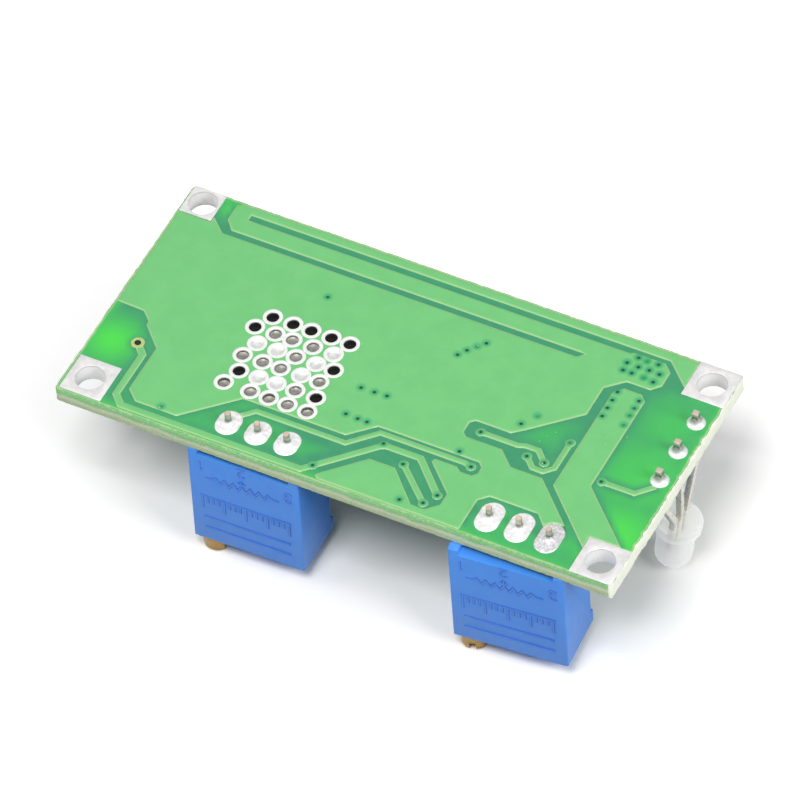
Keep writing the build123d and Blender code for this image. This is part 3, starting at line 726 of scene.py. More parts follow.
GREY_JOINT = JointFinish(
    "grey_joint", shade(230, 228, 230), shade(188, 186, 190),
    grain=0.22, patchiness=0.8, roughness=0.42, unevenness=0.12, metallic=0.5,
    relief=0.04, relief_grain=0.16, low=13.3, high=13.5,
)
LAMP_JOINT = JointFinish(
    "lamp_joint", shade(240, 240, 240), shade(214, 214, 214),
    grain=0.3, patchiness=0.5, roughness=0.4, unevenness=0.1, metallic=0.6,
    relief=0.008, relief_grain=0.2, low=13.25, high=13.6,
)
LAMP_WIRE = WireFinish(
    "lamp_wire", shade(240, 237, 228), shade(222, 216, 200),
    grain=0.5, patchiness=0.5, roughness=0.3, metallic=0.35, relief=0.006, relief_grain=0.15,
    root_level=13.75, copper=shade(206, 184, 170),
)
RING_COPPER = Finish(
    "ring_copper", shade(196, 214, 140), shade(160, 196, 112),
    grain=0.3, roughness=0.4, metallic=0.2,
)
# Pale flecks; those beside vias are painted glints.
FLECK_AND_GLINT = Finish(
    "pale_fleck_and_painted_glint", shade(212, 236, 206), shade(190, 224, 186), grain=0.1, roughness=0.6,
)
TINNED_WIRE = WireFinish(
    "tinned_wire", shade(206, 202, 194), shade(176, 170, 160),
    grain=0.3, patchiness=0.5, roughness=0.32, metallic=0.9, relief=0.006, relief_grain=0.15,
)
# Painted shadow: near black for the dark inside open holes.
SHADOW = Finish(
    "open_via_painted_shadow", shade(18, 18, 16), shade(30, 28, 24), grain=0.2, roughness=0.9,
)
TRIMMER_BLUE = Finish(
    "trimmer_plastic", shade(76, 154, 255), shade(84, 160, 255),
    grain=1.4, patchiness=0.5, roughness=0.42, unevenness=0.06, relief=0.006, relief_grain=0.12,
)
# Painted shade: the darker blue on the sides and ends of the raised strokes, which are of the
# housing's blue.
TRIMMER_RELIEF_SHADE = Finish(
    "trimmer_mark", shade(46, 102, 206), shade(52, 108, 212), grain=0.5, roughness=0.5,
)
BRASS = Finish(
    "trimmer_brass", shade(160, 132, 84), shade(128, 99, 52),
    grain=0.5, patchiness=0.6, roughness=0.32, unevenness=0.12, metallic=1.0,
    relief=0.006, relief_grain=0.15, stretch=(1, 1, 3),
)
LAMP_RESIN = ResinFinish(
    "lamp_resin", shade(252, 252, 250), shade(242, 244, 243),
    grain=1.2, roughness=0.14, unevenness=0.05, cover=0.3, relief=0.004, relief_grain=0.4,
)
BLACK_MOULDING = Finish(
    "black_moulding", shade(40, 40, 42), shade(52, 52, 54),
    grain=0.5, roughness=0.62, relief=0.01, relief_grain=0.08,
)
FERRITE = Finish(
    "ferrite", shade(66, 66, 68), shade(84, 84, 86),
    grain=0.4, roughness=0.7, relief=0.02, relief_grain=0.12,
)
COIL_COPPER = Finish(
    "coil_copper", shade(176, 92, 48), shade(146, 70, 36),
    grain=0.4, roughness=0.28, metallic=0.8, relief=0.01, relief_grain=0.2, stretch=(1, 1, 6),
)
RESISTOR_GLAZE = Finish(
    "resistor_ceramic", shade(30, 30, 34), shade(44, 44, 50), grain=0.3, roughness=0.3,
)
CAPACITOR_CERAMIC = Finish(
    "capacitor_ceramic", shade(176, 148, 112), shade(160, 132, 98),
    grain=0.3, roughness=0.55, relief=0.006, relief_grain=0.1,
)
TINNED_TAB = Finish(
    "tinned_tab", shade(190, 190, 192), shade(168, 168, 170),
    grain=0.8, roughness=0.38, metallic=0.9, relief=0.006, relief_grain=0.15,
)


# --------------------------------------------------------------------------- meshes


@dataclass
class Shape:
    """Corners and faces in millimetres, gathered before they become one object.

    Attributes:
        corners: The corner points.
        faces: Corner numbers of each face.
        slots: Finish number of each face.
        marks: Named values that the corners carry.
    """

    corners: list[Point] = field(default_factory=list)
    faces: list[Sequence[int]] = field(default_factory=list)
    slots: list[int] = field(default_factory=list)
    marks: dict[str, list[float]] = field(default_factory=dict)

    def add(
        self,
        corners: Iterable[Point],
        faces: Iterable[Sequence[int]],
        slot: int = 0,
        marks: Union[dict[str, Sequence[float]], None] = None,
    ) -> None:
        """Adds corners and the faces between them.

        Args:
            corners: New corner points.
            faces: Faces, numbered from the first new corner.
            slot: The faces' finish.
            marks: Values that the new corners carry.
        """
        start = len(self.corners)
        self.corners.extend(tuple(corner) for corner in corners)
        for face in faces:
            self.faces.append([start + index for index in face])
            self.slots.append(slot)
        for name, values in (marks or {}).items():
            row = self.marks.setdefault(name, [])
            row.extend([0.0] * (start - len(row)))
            row.extend(float(value) for value in values)

    def loft(self, rings: Sequence[Ring], slot: int = 0, capped: bool = False) -> None:
        """Adds a skin over rings of the same number of points.

        Args:
            rings: The rings, in order.
            slot: The faces' finish.
            capped: Closes the first and the last ring.
        """
        count = len(rings[0])
        faces: list[Sequence[int]] = []
        for level in range(len(rings) - 1):
            for index in range(count):
                follow = (index + 1) % count
                low, high = level * count, (level + 1) * count
                faces.append((low + index, low + follow, high + follow, high + index))
        if capped:
            faces.append(tuple(reversed(range(count))))
            faces.append(tuple(range((len(rings) - 1) * count, len(rings) * count)))
        self.add([point for ring in rings for point in ring], faces, slot)

    def turn(self, profile: Line, seat: Matrix, steps: int, slot: int = 0) -> None:
        """Adds a turned skin.

        Args:
            profile: Radius and height of each point, ends at radius 0 where the skin closes.
            seat: Places the axis, which is Z.
            steps: Points round the axis.
            slot: The faces' finish.
        """
        rings = [
            [
                seat @ Vector((radius * math.cos(angle), radius * math.sin(angle), height))
                for angle in (math.tau * step / steps for step in range(steps))
            ]
            for radius, height in profile
        ]
        self.loft(rings, slot)

    def mesh(self, name: str, weld: float = 1e-4) -> bpy.types.Mesh:
        """Makes the mesh in metres.

        Args:
            name: The mesh's name.
            weld: Corners nearer than this, in millimetres, become one.

        Returns:
            The mesh.
        """
        mesh = bpy.data.meshes.new(name)
        corners = [tuple(value * MM for value in corner) for corner in self.corners]
        mesh.from_pydata(corners, [], self.faces)
        mesh.polygons.foreach_set("material_index", self.slots)
        for mark, values in self.marks.items():
            layer = mesh.attributes.new(mark, "FLOAT", "POINT")
            layer.data.foreach_set("value", values + [0.0] * (len(self.corners) - len(values)))
        work = bmesh.new()
        work.from_mesh(mesh)
        bmesh.ops.remove_doubles(work, verts=work.verts, dist=weld * MM)
        work.to_mesh(mesh)
        work.free()
        mesh.update()
        return mesh


def turn_outward(mesh: bpy.types.Mesh) -> None:
    """Turns the faces of a closed mesh outward.

    Args:
        mesh: The mesh.
    """
    work = bmesh.new()
    work.from_mesh(mesh)
    bmesh.ops.recalc_face_normals(work, faces=work.faces)
    work.to_mesh(mesh)
    work.free()


def place_piece(
    name: str,
    mesh: bpy.types.Mesh,
    finishes: Sequence[Finish],
    body: str = BOARD,
    nodes: Sequence[str] = (),
    crease: float = 38.0,
) -> bpy.types.Object:
    """Puts a mesh in the scene as a piece of the object.

    Args:
        name: The piece's name.
        mesh: Its mesh, in metres, in the frame.
        finishes: One finish for each of the mesh's slots.
        body: The body that it rides on.
        nodes: The solids that it stands for.
        crease: Edges sharper than this, in degrees, stay sharp.

    Returns:
        The piece.
    """
    piece = bpy.data.objects.new(name, mesh)
    bpy.context.scene.collection.objects.link(piece)
    for finish in finishes:
        mesh.materials.append(material_of(finish))
    mesh.polygons.foreach_set("use_smooth", [True] * len(mesh.polygons))
    mesh.set_sharp_from_angle(angle=math.radians(crease))
    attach(piece, body)
    if nodes:
        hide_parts(*nodes)
    log.info("%s: %d faces", name, len(mesh.polygons))
    return piece


def dress(node: str, finish: Finish) -> None:
    """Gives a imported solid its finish.

    Args:
        node: The solid's name.
        finish: The finish.
    """
    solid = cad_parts[node]
    solid.data.materials.clear()
    solid.data.materials.append(material_of(finish))
    log.info("%s: dressed as %s", node, finish.name)


def softened(
    node: str, width: float, steps: int = 2, flat: float = 1.0, sharp: float = 30.0
) -> bpy.types.Mesh:
    """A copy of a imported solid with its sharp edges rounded.

    Args:
        node: The solid's name.
        width: How far the rounding reaches, in millimetres.
        steps: Faces across the rounding.
        flat: Faces that meet at less than this, in degrees, become one.
        sharp: Edges sharper than this, in degrees, are rounded.

    Returns:
        The new mesh.
    """
    work = bmesh.new()
    work.from_mesh(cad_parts[node].data)
    bmesh.ops.remove_doubles(work, verts=work.verts, dist=0.001 * MM)
    bmesh.ops.dissolve_limit(
        work, angle_limit=math.radians(flat), verts=work.verts, edges=work.edges
    )
    limit = math.radians(sharp)
    edges = [edge for edge in work.edges if edge.calc_face_angle(0.0) > limit]
    bmesh.ops.bevel(
        work, geom=edges, offset=width * MM, offset_type="OFFSET", segments=steps,
        profile=0.5, affect="EDGES", clamp_overlap=True,
    )
    mesh = bpy.data.meshes.new(node + "_rounded")
    work.to_mesh(mesh)
    work.free()
    for polygon in mesh.polygons:
        polygon.material_index = 0
    return mesh


# --------------------------------------------------------------------------- outlines


def outlines_of(node: str, level: float, per_mm: int = 2000) -> list[np.ndarray]:
    """Outlines of a solid's upward faces at one height.

    Args:
        node: The solid's name.
        level: The height of the faces, in millimetres.
        per_mm: Steps of the grid on which corners count as the same.

    Returns:
        Closed loops of points in millimetres.
    """
    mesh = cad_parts[node].data
    sides: dict[tuple[tuple[int, int], tuple[int, int]], int] = {}
    for polygon in mesh.polygons:
        points = [mesh.vertices[index].co / MM for index in polygon.vertices]
        if polygon.normal.z < 0.9 or any(abs(point.z - level) > 0.003 for point in points):
            continue
        keys = [(round(point.x * per_mm), round(point.y * per_mm)) for point in points]
        for start, end in zip(keys, keys[1:] + keys[:1]):
            sides[(start, end)] = sides.get((start, end), 0) + 1
    follow = {start: end for start, end in sides if (end, start) not in sides and start != end}
    loops = []
    while follow:
        start, point = follow.popitem()
        loop = [start]
        while point != start and point in follow:
            loop.append(point)
            point = follow.pop(point)
        if len(loop) > 2:
            loops.append(np.array(loop, float) / per_mm)
    return loops


def span(loop: np.ndarray) -> float:
    """The longer side of the box round a loop."""
    return float((loop.max(0) - loop.min(0)).max())


def divided(loop: np.ndarray, step: float) -> np.ndarray:
    """A loop with points added so that no side is longer than a step.

    Args:
        loop: The loop.
        step: The longest side wanted.

    Returns:
        The loop with more points.
    """
    points = []
    for start, end in zip(loop, np.roll(loop, -1, axis=0)):
        parts = max(1, math.ceil(float(np.linalg.norm(end - start)) / step))
        points += [start + (end - start) * part / parts for part in range(parts)]
    return np.array(points)


def circle(centre: Point, radius: float, steps: int) -> np.ndarray:
    """A round loop.

    Args:
        centre: Its middle.
        radius: Its radius.
        steps: Points round it.

    Returns:
        The loop.
    """
    angles = np.arange(steps) * math.tau / steps
    return np.stack([centre[0] + radius * np.cos(angles), centre[1] + radius * np.sin(angles)], 1)


def distance(
    loops: Sequence[np.ndarray], points: np.ndarray, batch: int = 4000
) -> np.ndarray:
    """Shortest distance from each point to the loops' sides.

    Args:
        loops: The loops.
        points: The points.
        batch: How many points are worked out at a time.

    Returns:
        One distance for each point.
    """
    best = np.full(len(points), np.inf)
    for loop in loops:
        side = np.roll(loop, -1, axis=0) - loop
        length = np.maximum((side**2).sum(1), 1e-12)
        for begin in range(0, len(points), batch):
            part = slice(begin, begin + batch)
            offset = points[part, None, :] - loop[None]
            along = np.clip((offset * side).sum(2) / length, 0, 1)
            gap = offset - along[..., None] * side
            best[part] = np.minimum(best[part], np.sqrt((gap**2).sum(2)).min(1))
    return best


def inside(loops: Sequence[np.ndarray], points: np.ndarray) -> np.ndarray:
    """Which points lie inside the loops, holes left out.

    Args:
        loops: Outlines and holes.
        points: The points.

    Returns:
        True for each point inside.
    """
    crossings = np.zeros(len(points), int)
    for loop in loops:
        for start, end in zip(loop, np.roll(loop, -1, axis=0)):
            if start[1] == end[1]:
                continue
            low, high = sorted((start[1], end[1]))
            between = (points[:, 1] >= low) & (points[:, 1] < high)
            cut = start[0] + (points[:, 1] - start[1]) * (end[0] - start[0]) / (end[1] - start[1])
            crossings += between & (points[:, 0] < cut)
    return crossings % 2 == 1


def smooth(values: np.ndarray, low: float, high: float) -> np.ndarray:
    """A soft step from 0 at low to 1 at high.

    Args:
        values: What is compared.
        low: Where the step begins.
        high: Where it ends.

    Returns:
        The steps.
    """
    part = np.clip((values - low) / (high - low), 0, 1)
    return part * part * (3 - 2 * part)


@dataclass(frozen=True)
class Dimple:
    """A small via under the mask.

    Attributes:
        x: Its place along the board.
        y: Its place across the board.
        dark: How dark its bottom is, 0 to 1, as painted shade.
        halo: How bright the mask round it is, 0 to 1.
        size: Radius of the dark bottom.
    """

    x: float
    y: float
    dark: float = 1.0
    halo: float = 0.8
    size: float = 0.19


@dataclass
class Film:
    """Solder mask over one area: a thin sheet cut to outlines, dimpled over small vias.

    Attributes:
        loops: Outlines and holes.
        top: Height of its flat.
        drop: How far its edge falls to what carries it.
        shoulder: How wide that fall is.
        grid: Spacing of its inner points.
        dimples: The vias under it.
        rimmed: How strongly the paler line shows along its outline.
    """

    loops: list[np.ndarray]
    top: float
    drop: float = 0.0
    shoulder: float = 0.09
    grid: float = 0.8
    dimples: Sequence[Dimple] = ()
    rimmed: float = 1.0

    STEP = 0.4  # the longest side of its edge
    SECOND_LINE = 0.22  # how far in the second line of points runs
    NEARER = 0.93  # a line's point stays if it is this part of its reach from the edge
    BLUNT = 0.3  # keeps the lines' corners from running out into spikes
    GRID_MARGIN = 0.3  # how far from the edge the grid stays
    RING_MARGIN = 0.03  # how far from the edge the rings round a via stay
    ROW = 0.87  # distance of the grid's rows, as a part of its spacing
    # Round a via, as parts of its radius: rings of points, and how far the grid stays away.
    RINGS = (0.0, 0.55, 0.78, 1.0, 1.3, 1.9, 2.7)
    VIA_MARGIN = 2.8
    # Where the dark, the halo and the fall of a dimple fade, as parts of the via's radius.
    DARK_FADE = (0.55, 1.0)
    HALO_FADE = (1.2, 2.6)
    DIMPLE_FALL = (0.2, 1.5)
    DIMPLE_DEPTH = 0.05

    def _lines_along(self, reach: float) -> list[np.ndarray]:
        """Points at one distance inside the outlines.

        Args:
            reach: The distance.

        Returns:
            The points along each outline that lie inside, for one of its sides and the other.
        """
        lines = []
        for loop in self.loops:
            points = divided(loop, self.STEP)
            ahead = np.roll(points, -1, axis=0) - points
            ahead /= np.maximum(np.linalg.norm(ahead, axis=1, keepdims=True), 1e-9)
            normal = np.stack([-ahead[:, 1], ahead[:, 0]], 1)
            before = np.roll(normal, 1, axis=0)
            opening = np.maximum(1 + (normal * before).sum(1, keepdims=True), self.BLUNT)
            mitre = (normal + before) / opening
            for side in (-1, 1):
                moved = points + side * reach * mitre
                lines.append(self._kept(moved, self.NEARER * reach))
        return lines

    def _kept(self, points: np.ndarray, margin: float) -> np.ndarray:
        """Those of some points that lie inside the sheet, further from its edge than a margin."""
        return points[inside(self.loops, points) & (distance(self.loops, points) > margin)]

    def _inner_points(self, outline: np.ndarray) -> np.ndarray:
        """Points inside the outline: two lines along it, a grid, and rings round the vias.

        Args:
            outline: The outline's own points.

        Returns:
            The points.
        """
        chosen = [*self._lines_along(self.shoulder), *self._lines_along(self.SECOND_LINE)]
        low, high = outline.min(0), outline.max(0)
        across = np.arange(low[0], high[0], self.grid)
        along = np.arange(low[1], high[1], self.grid * self.ROW)
        spots = self._kept(np.array([
            (x + (row % 2) * self.grid / 2, y) for row, y in enumerate(along) for x in across
        ]), self.GRID_MARGIN)
        for dimple in self.dimples:
            reach = np.linalg.norm(spots - (dimple.x, dimple.y), axis=1)
            spots = spots[reach > self.VIA_MARGIN * dimple.size]
        chosen.append(spots)
        for dimple in self.dimples:
            for ring in self.RINGS:
                points = circle((dimple.x, dimple.y), ring * dimple.size, 12 if ring else 1)
                chosen.append(self._kept(points, self.RING_MARGIN))
        return np.concatenate(chosen)

    def sheet(
        self, shape: Shape, slot: int = 0, marks: Union[dict[str, "Field"], None] = None
    ) -> None:
        """Adds the sheet to a shape.

        Args:
            shape: The shape that takes it.
            slot: The sheet's finish.
            marks: More marks, each worked out from the points.
        """
        fixed, sides = [], []
        for loop in self.loops:
            points = divided(loop, self.STEP)
            start, count = sum(len(part) for part in fixed), len(points)
            sides += [(start + index, start + (index + 1) % count) for index in range(count)]
            fixed.append(points)
        outline = np.concatenate(fixed)
        points = np.concatenate([outline, self._inner_points(outline)])
        cut = delaunay_2d_cdt([Vector(point) for point in points], sides, [], 0, 1e-5)
        spots = np.array([tuple(point) for point in cut[0]])
        faces = np.array([face for face in cut[2] if len(face) == 3])
        faces = faces[inside(self.loops, spots[faces].mean(1))]
        edge = distance(self.loops, spots)
        height = self.top - self.drop * (1 - smooth(edge, 0, self.shoulder))
        pit, halo = np.zeros(len(spots)), np.zeros(len(spots))
        for dimple in self.dimples:
            reach = np.linalg.norm(spots - (dimple.x, dimple.y), axis=1) / dimple.size
            # The pit mark carries the painted shade of each via's dip.
            pit = np.maximum(pit, dimple.dark * (1 - smooth(reach, *self.DARK_FADE)))
            halo = np.maximum(halo, dimple.halo * (1 - smooth(reach, *self.HALO_FADE)))
            height = height - self.DIMPLE_DEPTH * (1 - smooth(reach, *self.DIMPLE_FALL))
        rimmed = np.full(len(spots), self.rimmed)
        values = {"edge": edge, "pit": pit, "halo": halo, "rimmed": rimmed}
        for name, rule in (marks or {}).items():
            values[name] = rule.at(spots)
        shape.add(np.column_stack([spots, height]).tolist(), faces.tolist(), slot, values)


class Field:
    """A value over the board, worked out point by point."""

    def at(self, points: np.ndarray) -> np.ndarray:
        """The value at each point."""
        raise NotImplementedError


@dataclass(frozen=True)
class Pool:
    """A painted pool of light, where light comes up through bare laminate.

    Attributes:
        x: Its middle from the board's left edge.
        y: Its middle from the board's front edge.
        reach: How far it spreads.
        strength: How bright it is, 0 to 1.
    """

    x: float
    y: float
    reach: float
    strength: float


@dataclass
class Openness(Field):
    """How much painted light comes up through the board, away from the copper.

    Attributes:
        copper: Outlines of all the copper.
        outline: The board's outline, through which light comes in as well.
        pools: Where the light comes up.
        general: How bright the open laminate is, 0 to 1.
        rim: How bright it is along the outline.
    """

    copper: list[np.ndarray]
    outline: np.ndarray
    pools: Sequence[Pool]
    general: float = 0.3
    rim: float = 0.5

    # Where each kind of light begins and is full, from the copper, or fades, from the outline.
    GENERAL_RISE = (0.3, 1.4)
    RIM_FADE = (0.1, 1.2)
    POOL_RISE = (0.02, 0.7)

    def at(self, points: np.ndarray) -> np.ndarray:
        """The openness at each point.

        Args:
            points: The points.

        Returns:
            The openness, 0 to 1.
        """
        gap = np.where(inside(self.copper, points), 0, distance(self.copper, points))
        fade = smooth(distance([self.outline], points), *self.RIM_FADE)
        light = np.maximum(self.general * smooth(gap, *self.GENERAL_RISE), self.rim * (1 - fade))
        clear = smooth(gap, *self.POOL_RISE) ** 0.5
        for pool in self.pools:
            reach = np.linalg.norm(points + HALF_BOARD - (pool.x, pool.y), axis=1) / pool.reach
            light = np.maximum(light, pool.strength * np.exp(-(reach**2)) * clear)
        return light


@dataclass
class CutLine(Field):
    """Where the mask stops at the board's cut edge.

    Attributes:
        outline: The board's outline.
        width: How wide the bare line is.
    """

    outline: np.ndarray
    width: float = 0.12

    FADE = (0.4, 1.4)  # where the line begins to fade and is gone, as parts of its width

    def at(self, points: np.ndarray) -> np.ndarray:
        """The bare line at each point, 0 to 1."""
        reach = distance([self.outline], points)
        return 1 - smooth(reach, *(part * self.width for part in self.FADE))


# --------------------------------------------------------------------------- sub-assemblies


def spot(x: float, y: float, dark: float = 1.0, halo: float = 0.8) -> Dimple:
    """A small via.

    Args:
        x: Its place along the board, from the front left corner.
        y: Its place across the board, from there.
        dark: How dark its bottom is, 0 to 1, as painted shade.
        halo: How bright the mask round it is, 0 to 1.

    Returns:
        The dimple over it.
    """
    return Dimple(x - HALF_BOARD[0], y - HALF_BOARD[1], dark, halo)


VIAS = (
    spot(15.05, 16.9, 0.9), spot(8.5, 1.75, 0.5), spot(21.65, 9.78), spot(22.8, 9.8),
    spot(23.85, 9.85), spot(21.8, 6.95), spot(22.85, 6.9), spot(23.65, 6.9),
    spot(28.4, 17.75), spot(27.9, 17.15, 0.5), spot(27.35, 16.5), spot(26.9, 15.8),
    spot(29.45, 1.05), spot(31.45, 7.2), spot(34.5, 11.6), spot(35.3, 12.8, 0.3),
    spot(39.75, 21.25, 0.9, 1.0), spot(41.45, 21.25, 0.9, 1.0),
    spot(40.5, 21.2, 0.4, 1.0), spot(39.15, 20.45, 1.0, 1.0), spot(40.15, 20.4, 1.0, 1.0),
    spot(41.05, 20.45, 1.0, 1.0), spot(41.95, 20.4, 1.0, 1.0), spot(39.2, 19.65, 1.0, 1.0),
    spot(39.95, 19.65, 1.0, 1.0), spot(41.0, 19.6, 0.4, 1.0), spot(41.85, 19.5, 1.0, 1.0),
)
OUTPUT_VIAS = (
    spot(39.8, 17.5), spot(39.8, 16.6), spot(39.8, 15.75), spot(39.8, 14.85),
    spot(41.7, 17.35), spot(41.7, 16.55, 0.8), spot(41.7, 15.75, 0.6), spot(41.7, 14.7, 0.5),
)
TRACE_VIAS = (
    spot(21.85, 1.35), spot(25.8, 5.5), spot(28.1, 4.3), spot(31.25, 1.5), spot(31.9, 2.6),
    spot(32.95, 6.2), spot(32.05, 9.6), spot(36.35, 8.9), spot(37.85, 8.85),
    spot(38.75, 11.45, 0.6), spot(42.65, 8.97),
)
# Painted pools of light, where light comes up through the board.
POOLS = (
    Pool(1.8, 6.2, 2.4, 1.0), Pool(46.0, 4.4, 3.6, 1.0), Pool(45.2, 10.5, 4.5, 0.62),
    Pool(45.0, 16.0, 3.0, 0.5), Pool(4.2, 21.9, 1.1, 0.9), Pool(15.5, 4.6, 3.2, 0.4),
    Pool(28.5, 1.6, 2.6, 0.3), Pool(37.0, 1.2, 3.5, 0.35), Pool(36.6, 11.8, 2.2, 0.35),
    Pool(9.0, 0.2, 6.0, 0.4), Pool(42.4, 2.2, 1.6, 0.4),
)


class ViaFill(Enum):
    """What fills a heat via, with the letter that stands for it in the rows of fills."""

    # An open via takes a painted shadow down its hole.
    OPEN = "o"
    DEEP = "d"
    DULL = "l"
    BRIGHT = "b"


@dataclass
class Laminate:
    """The glass-fibre board: mask above and below, cut edges, drilled holes.

    Attributes:
        length: Along the board.
        width: Across the board.
        corner: Radius of its corners.
        fray: How far the cut edge is nibbled.
        sawn: How much more the right end is nibbled.
        worn: How far its upper and lower corners are worn down.
        wall_steps: Heights of the wall's rows, as parts of the thickness.
    """

    length: float = 2 * HALF_BOARD[0]
    width: float = 2 * HALF_BOARD[1]
    corner: float = 0.4
    fray: float = 0.07
    sawn: float = 1.2
    worn: float = 0.06
    wall_steps: tuple[float, ...] = (0.0, 0.08, 0.3, 0.5, 0.7, 0.92, 1.0)

    CORNER_STEPS = 4
    OUTLINE_STEP = 0.2
    # How fine each layer of the nibbling is along the edge and up it, and its share.
    NIBBLES = ((1.9, 2.5, 1.0), (6.1, 5.0, 0.6))
    SAWN_RISE = (-0.6, -0.3)  # where the sawn end's nibbling begins and is full, from the end
    HOLE_SPAN = 5.0  # a wider outline is the board's own
    WIRE_HOLE = 1.0  # a hole of a larger radius gets more points

    def outline(self) -> np.ndarray:
        """The board's outline.

        Returns:
            A finely divided loop.
        """
        points = []
        for turn, (x, y) in enumerate(((1, 1), (-1, 1), (-1, -1), (1, -1))):
            centre = (x * (self.length / 2 - self.corner), y * (self.width / 2 - self.corner))
            for step in range(self.CORNER_STEPS + 1):
                angle = math.pi / 2 * (turn + step / self.CORNER_STEPS)
                across, up = self.corner * math.cos(angle), self.corner * math.sin(angle)
                points.append((centre[0] + across, centre[1] + up))
        return divided(np.array(points), self.OUTLINE_STEP)

    def holes(self, level: float) -> list[np.ndarray]:
        """The drilled holes.

        Args:
            level: Height of the solder face.

        Returns:
            A round loop for each.
        """
        holes = []
        for loop in outlines_of("laminate", level):
            if span(loop) < self.HOLE_SPAN:
                reach = float(np.linalg.norm(loop - loop.mean(0), axis=1).max())
                holes.append(circle(loop.mean(0), reach, 40 if reach > self.WIRE_HOLE else 20))
        return holes

    def frayed(self, outline: np.ndarray, level: float, row: float) -> np.ndarray:
        """The outline as the saw left it at one height.

        Args:
            outline: The clean outline.
            level: Height over the table.
            row: Where the height lies in the wall, 0 below and 1 above.

        Returns:
            The nibbled outline.
        """
        ahead = np.roll(outline, -1, axis=0) - np.roll(outline, 1, axis=0)
        ahead /= np.linalg.norm(ahead, axis=1, keepdims=True)
        inward = np.stack([-ahead[:, 1], ahead[:, 0]], 1)
        depth = [
            sum(
                share * abs(noise.noise(Vector((x * along, y * along, level * upward))))
                for along, upward, share in self.NIBBLES
            )
            for x, y in outline
        ]
        worn = self.worn if row in (0.0, 1.0) else 0.0
        end = (self.length / 2 + reach for reach in self.SAWN_RISE)
        sawn = 1 + self.sawn * smooth(outline[:, 0], *end)
        return outline + inward * (np.array(depth) * sawn * self.fray + worn)[:, None]

    def build(self, copper: list[np.ndarray]) -> None:
        """Makes the board.

        Args:
            copper: Outlines of the copper on the solder face.
        """
        low, high = (corner.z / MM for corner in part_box("laminate"))
        holes, outline = self.holes(high), self.outline()
        shape, below = Shape(), Shape()
        top, bottom = self.frayed(outline, high, 1.0), self.frayed(outline, low, 0.0)
        # The bare mark carries the painted light that comes up through the board.
        marks = {"bare": Openness(copper, top, POOLS), "cut": CutLine(top)}
        Film([top] + holes, high, grid=0.45, rimmed=0.0).sheet(shape, 0, marks)
        Film([bottom] + holes, low, grid=1.2, rimmed=0.0).sheet(below, 0, {"cut": CutLine(bottom)})
        shape.add(below.corners, [face[::-1] for face in below.faces], 2, below.marks)
        rings = []
        for row in self.wall_steps:
            level = low + (high - low) * row
            rings.append([Vector((x, y, level)) for x, y in self.frayed(outline, level, row)])
        shape.loft(rings, 1)
        for hole in holes:
            walls = [[Vector((x, y, level)) for x, y in hole[::-1]] for level in (low, high)]
            shape.loft(walls, 1)
        place_piece(
            "laminate_board", shape.mesh("laminate_board", 0.002),
            [MASKED_LAMINATE, FIBRE_EDGE, MASKED_COPPER],
            nodes=["laminate"], crease=50,
        )


@dataclass
class Copper:
    """The copper areas of the solder face under their mask.

    Attributes:
        level: Height of the laminate's solder face.
        thickness: Height of the copper with its mask.
        via_margin: How far the ground copper reaches past the heat vias' middles.
        via_opening: Radius of the opening in the mask at each of them.
        front_corner: The corner of the ground copper in front of them.
    """

    level: float = 13.05
    thickness: float = 0.07
    via_margin: float = 1.0
    via_opening: float = 0.56
    front_corner: tuple[float, float] = (-10.1, -6.45)

    def outlines(self, node: str) -> list[np.ndarray]:
        """The outlines of one copper solid."""
        return outlines_of(node, self.level + self.thickness)

    def over_heat_vias(self, loops: list[np.ndarray], centres: np.ndarray) -> list[np.ndarray]:
        """The ground copper's outlines with the mask running on between the heat vias' rings.

        Args:
            loops: The outlines of the solid, which is left out under the rings.
            centres: The heat vias' middles.

        Returns:
            The new outlines.
        """
        low, high = centres.min(0) - self.via_margin, centres.max(0) + self.via_margin
        result = [circle(centre, self.via_opening, 24) for centre in centres]
        for loop in loops:
            points = []
            for point in loop:
                if not ((point > low) & (point < high)).all():
                    points.append(point)
                elif not any(kept is self.front_corner for kept in points):
                    points.append(self.front_corner)
            result.append(np.array([tuple(point) for point in points]))
        return result

    def build(self, heat_vias: "HeatVias") -> list[np.ndarray]:
        """Makes the three copper pieces.

        Args:
            heat_vias: The heat vias, whose rings stand on the ground copper.

        Returns:
            All their outlines.
        """
        centres = np.array([centre for row in heat_vias.centres() for centre in row])
        everything = []
        for node, dimples in (
            ("ground_copper", VIAS), ("output_copper", OUTPUT_VIAS), ("signal_traces", TRACE_VIAS),
        ):
            loops = self.outlines(node)
            if node == "ground_copper":
                loops = self.over_heat_vias(loops, centres)
            everything += loops
            shape = Shape()
            film = Film(loops, self.level + self.thickness, self.thickness, dimples=dimples)
            film.sheet(shape)
            place_piece(
                node + "_film", shape.mesh(node + "_film"), [MASKED_COPPER],
                nodes=[node], crease=60,
            )
        return everything


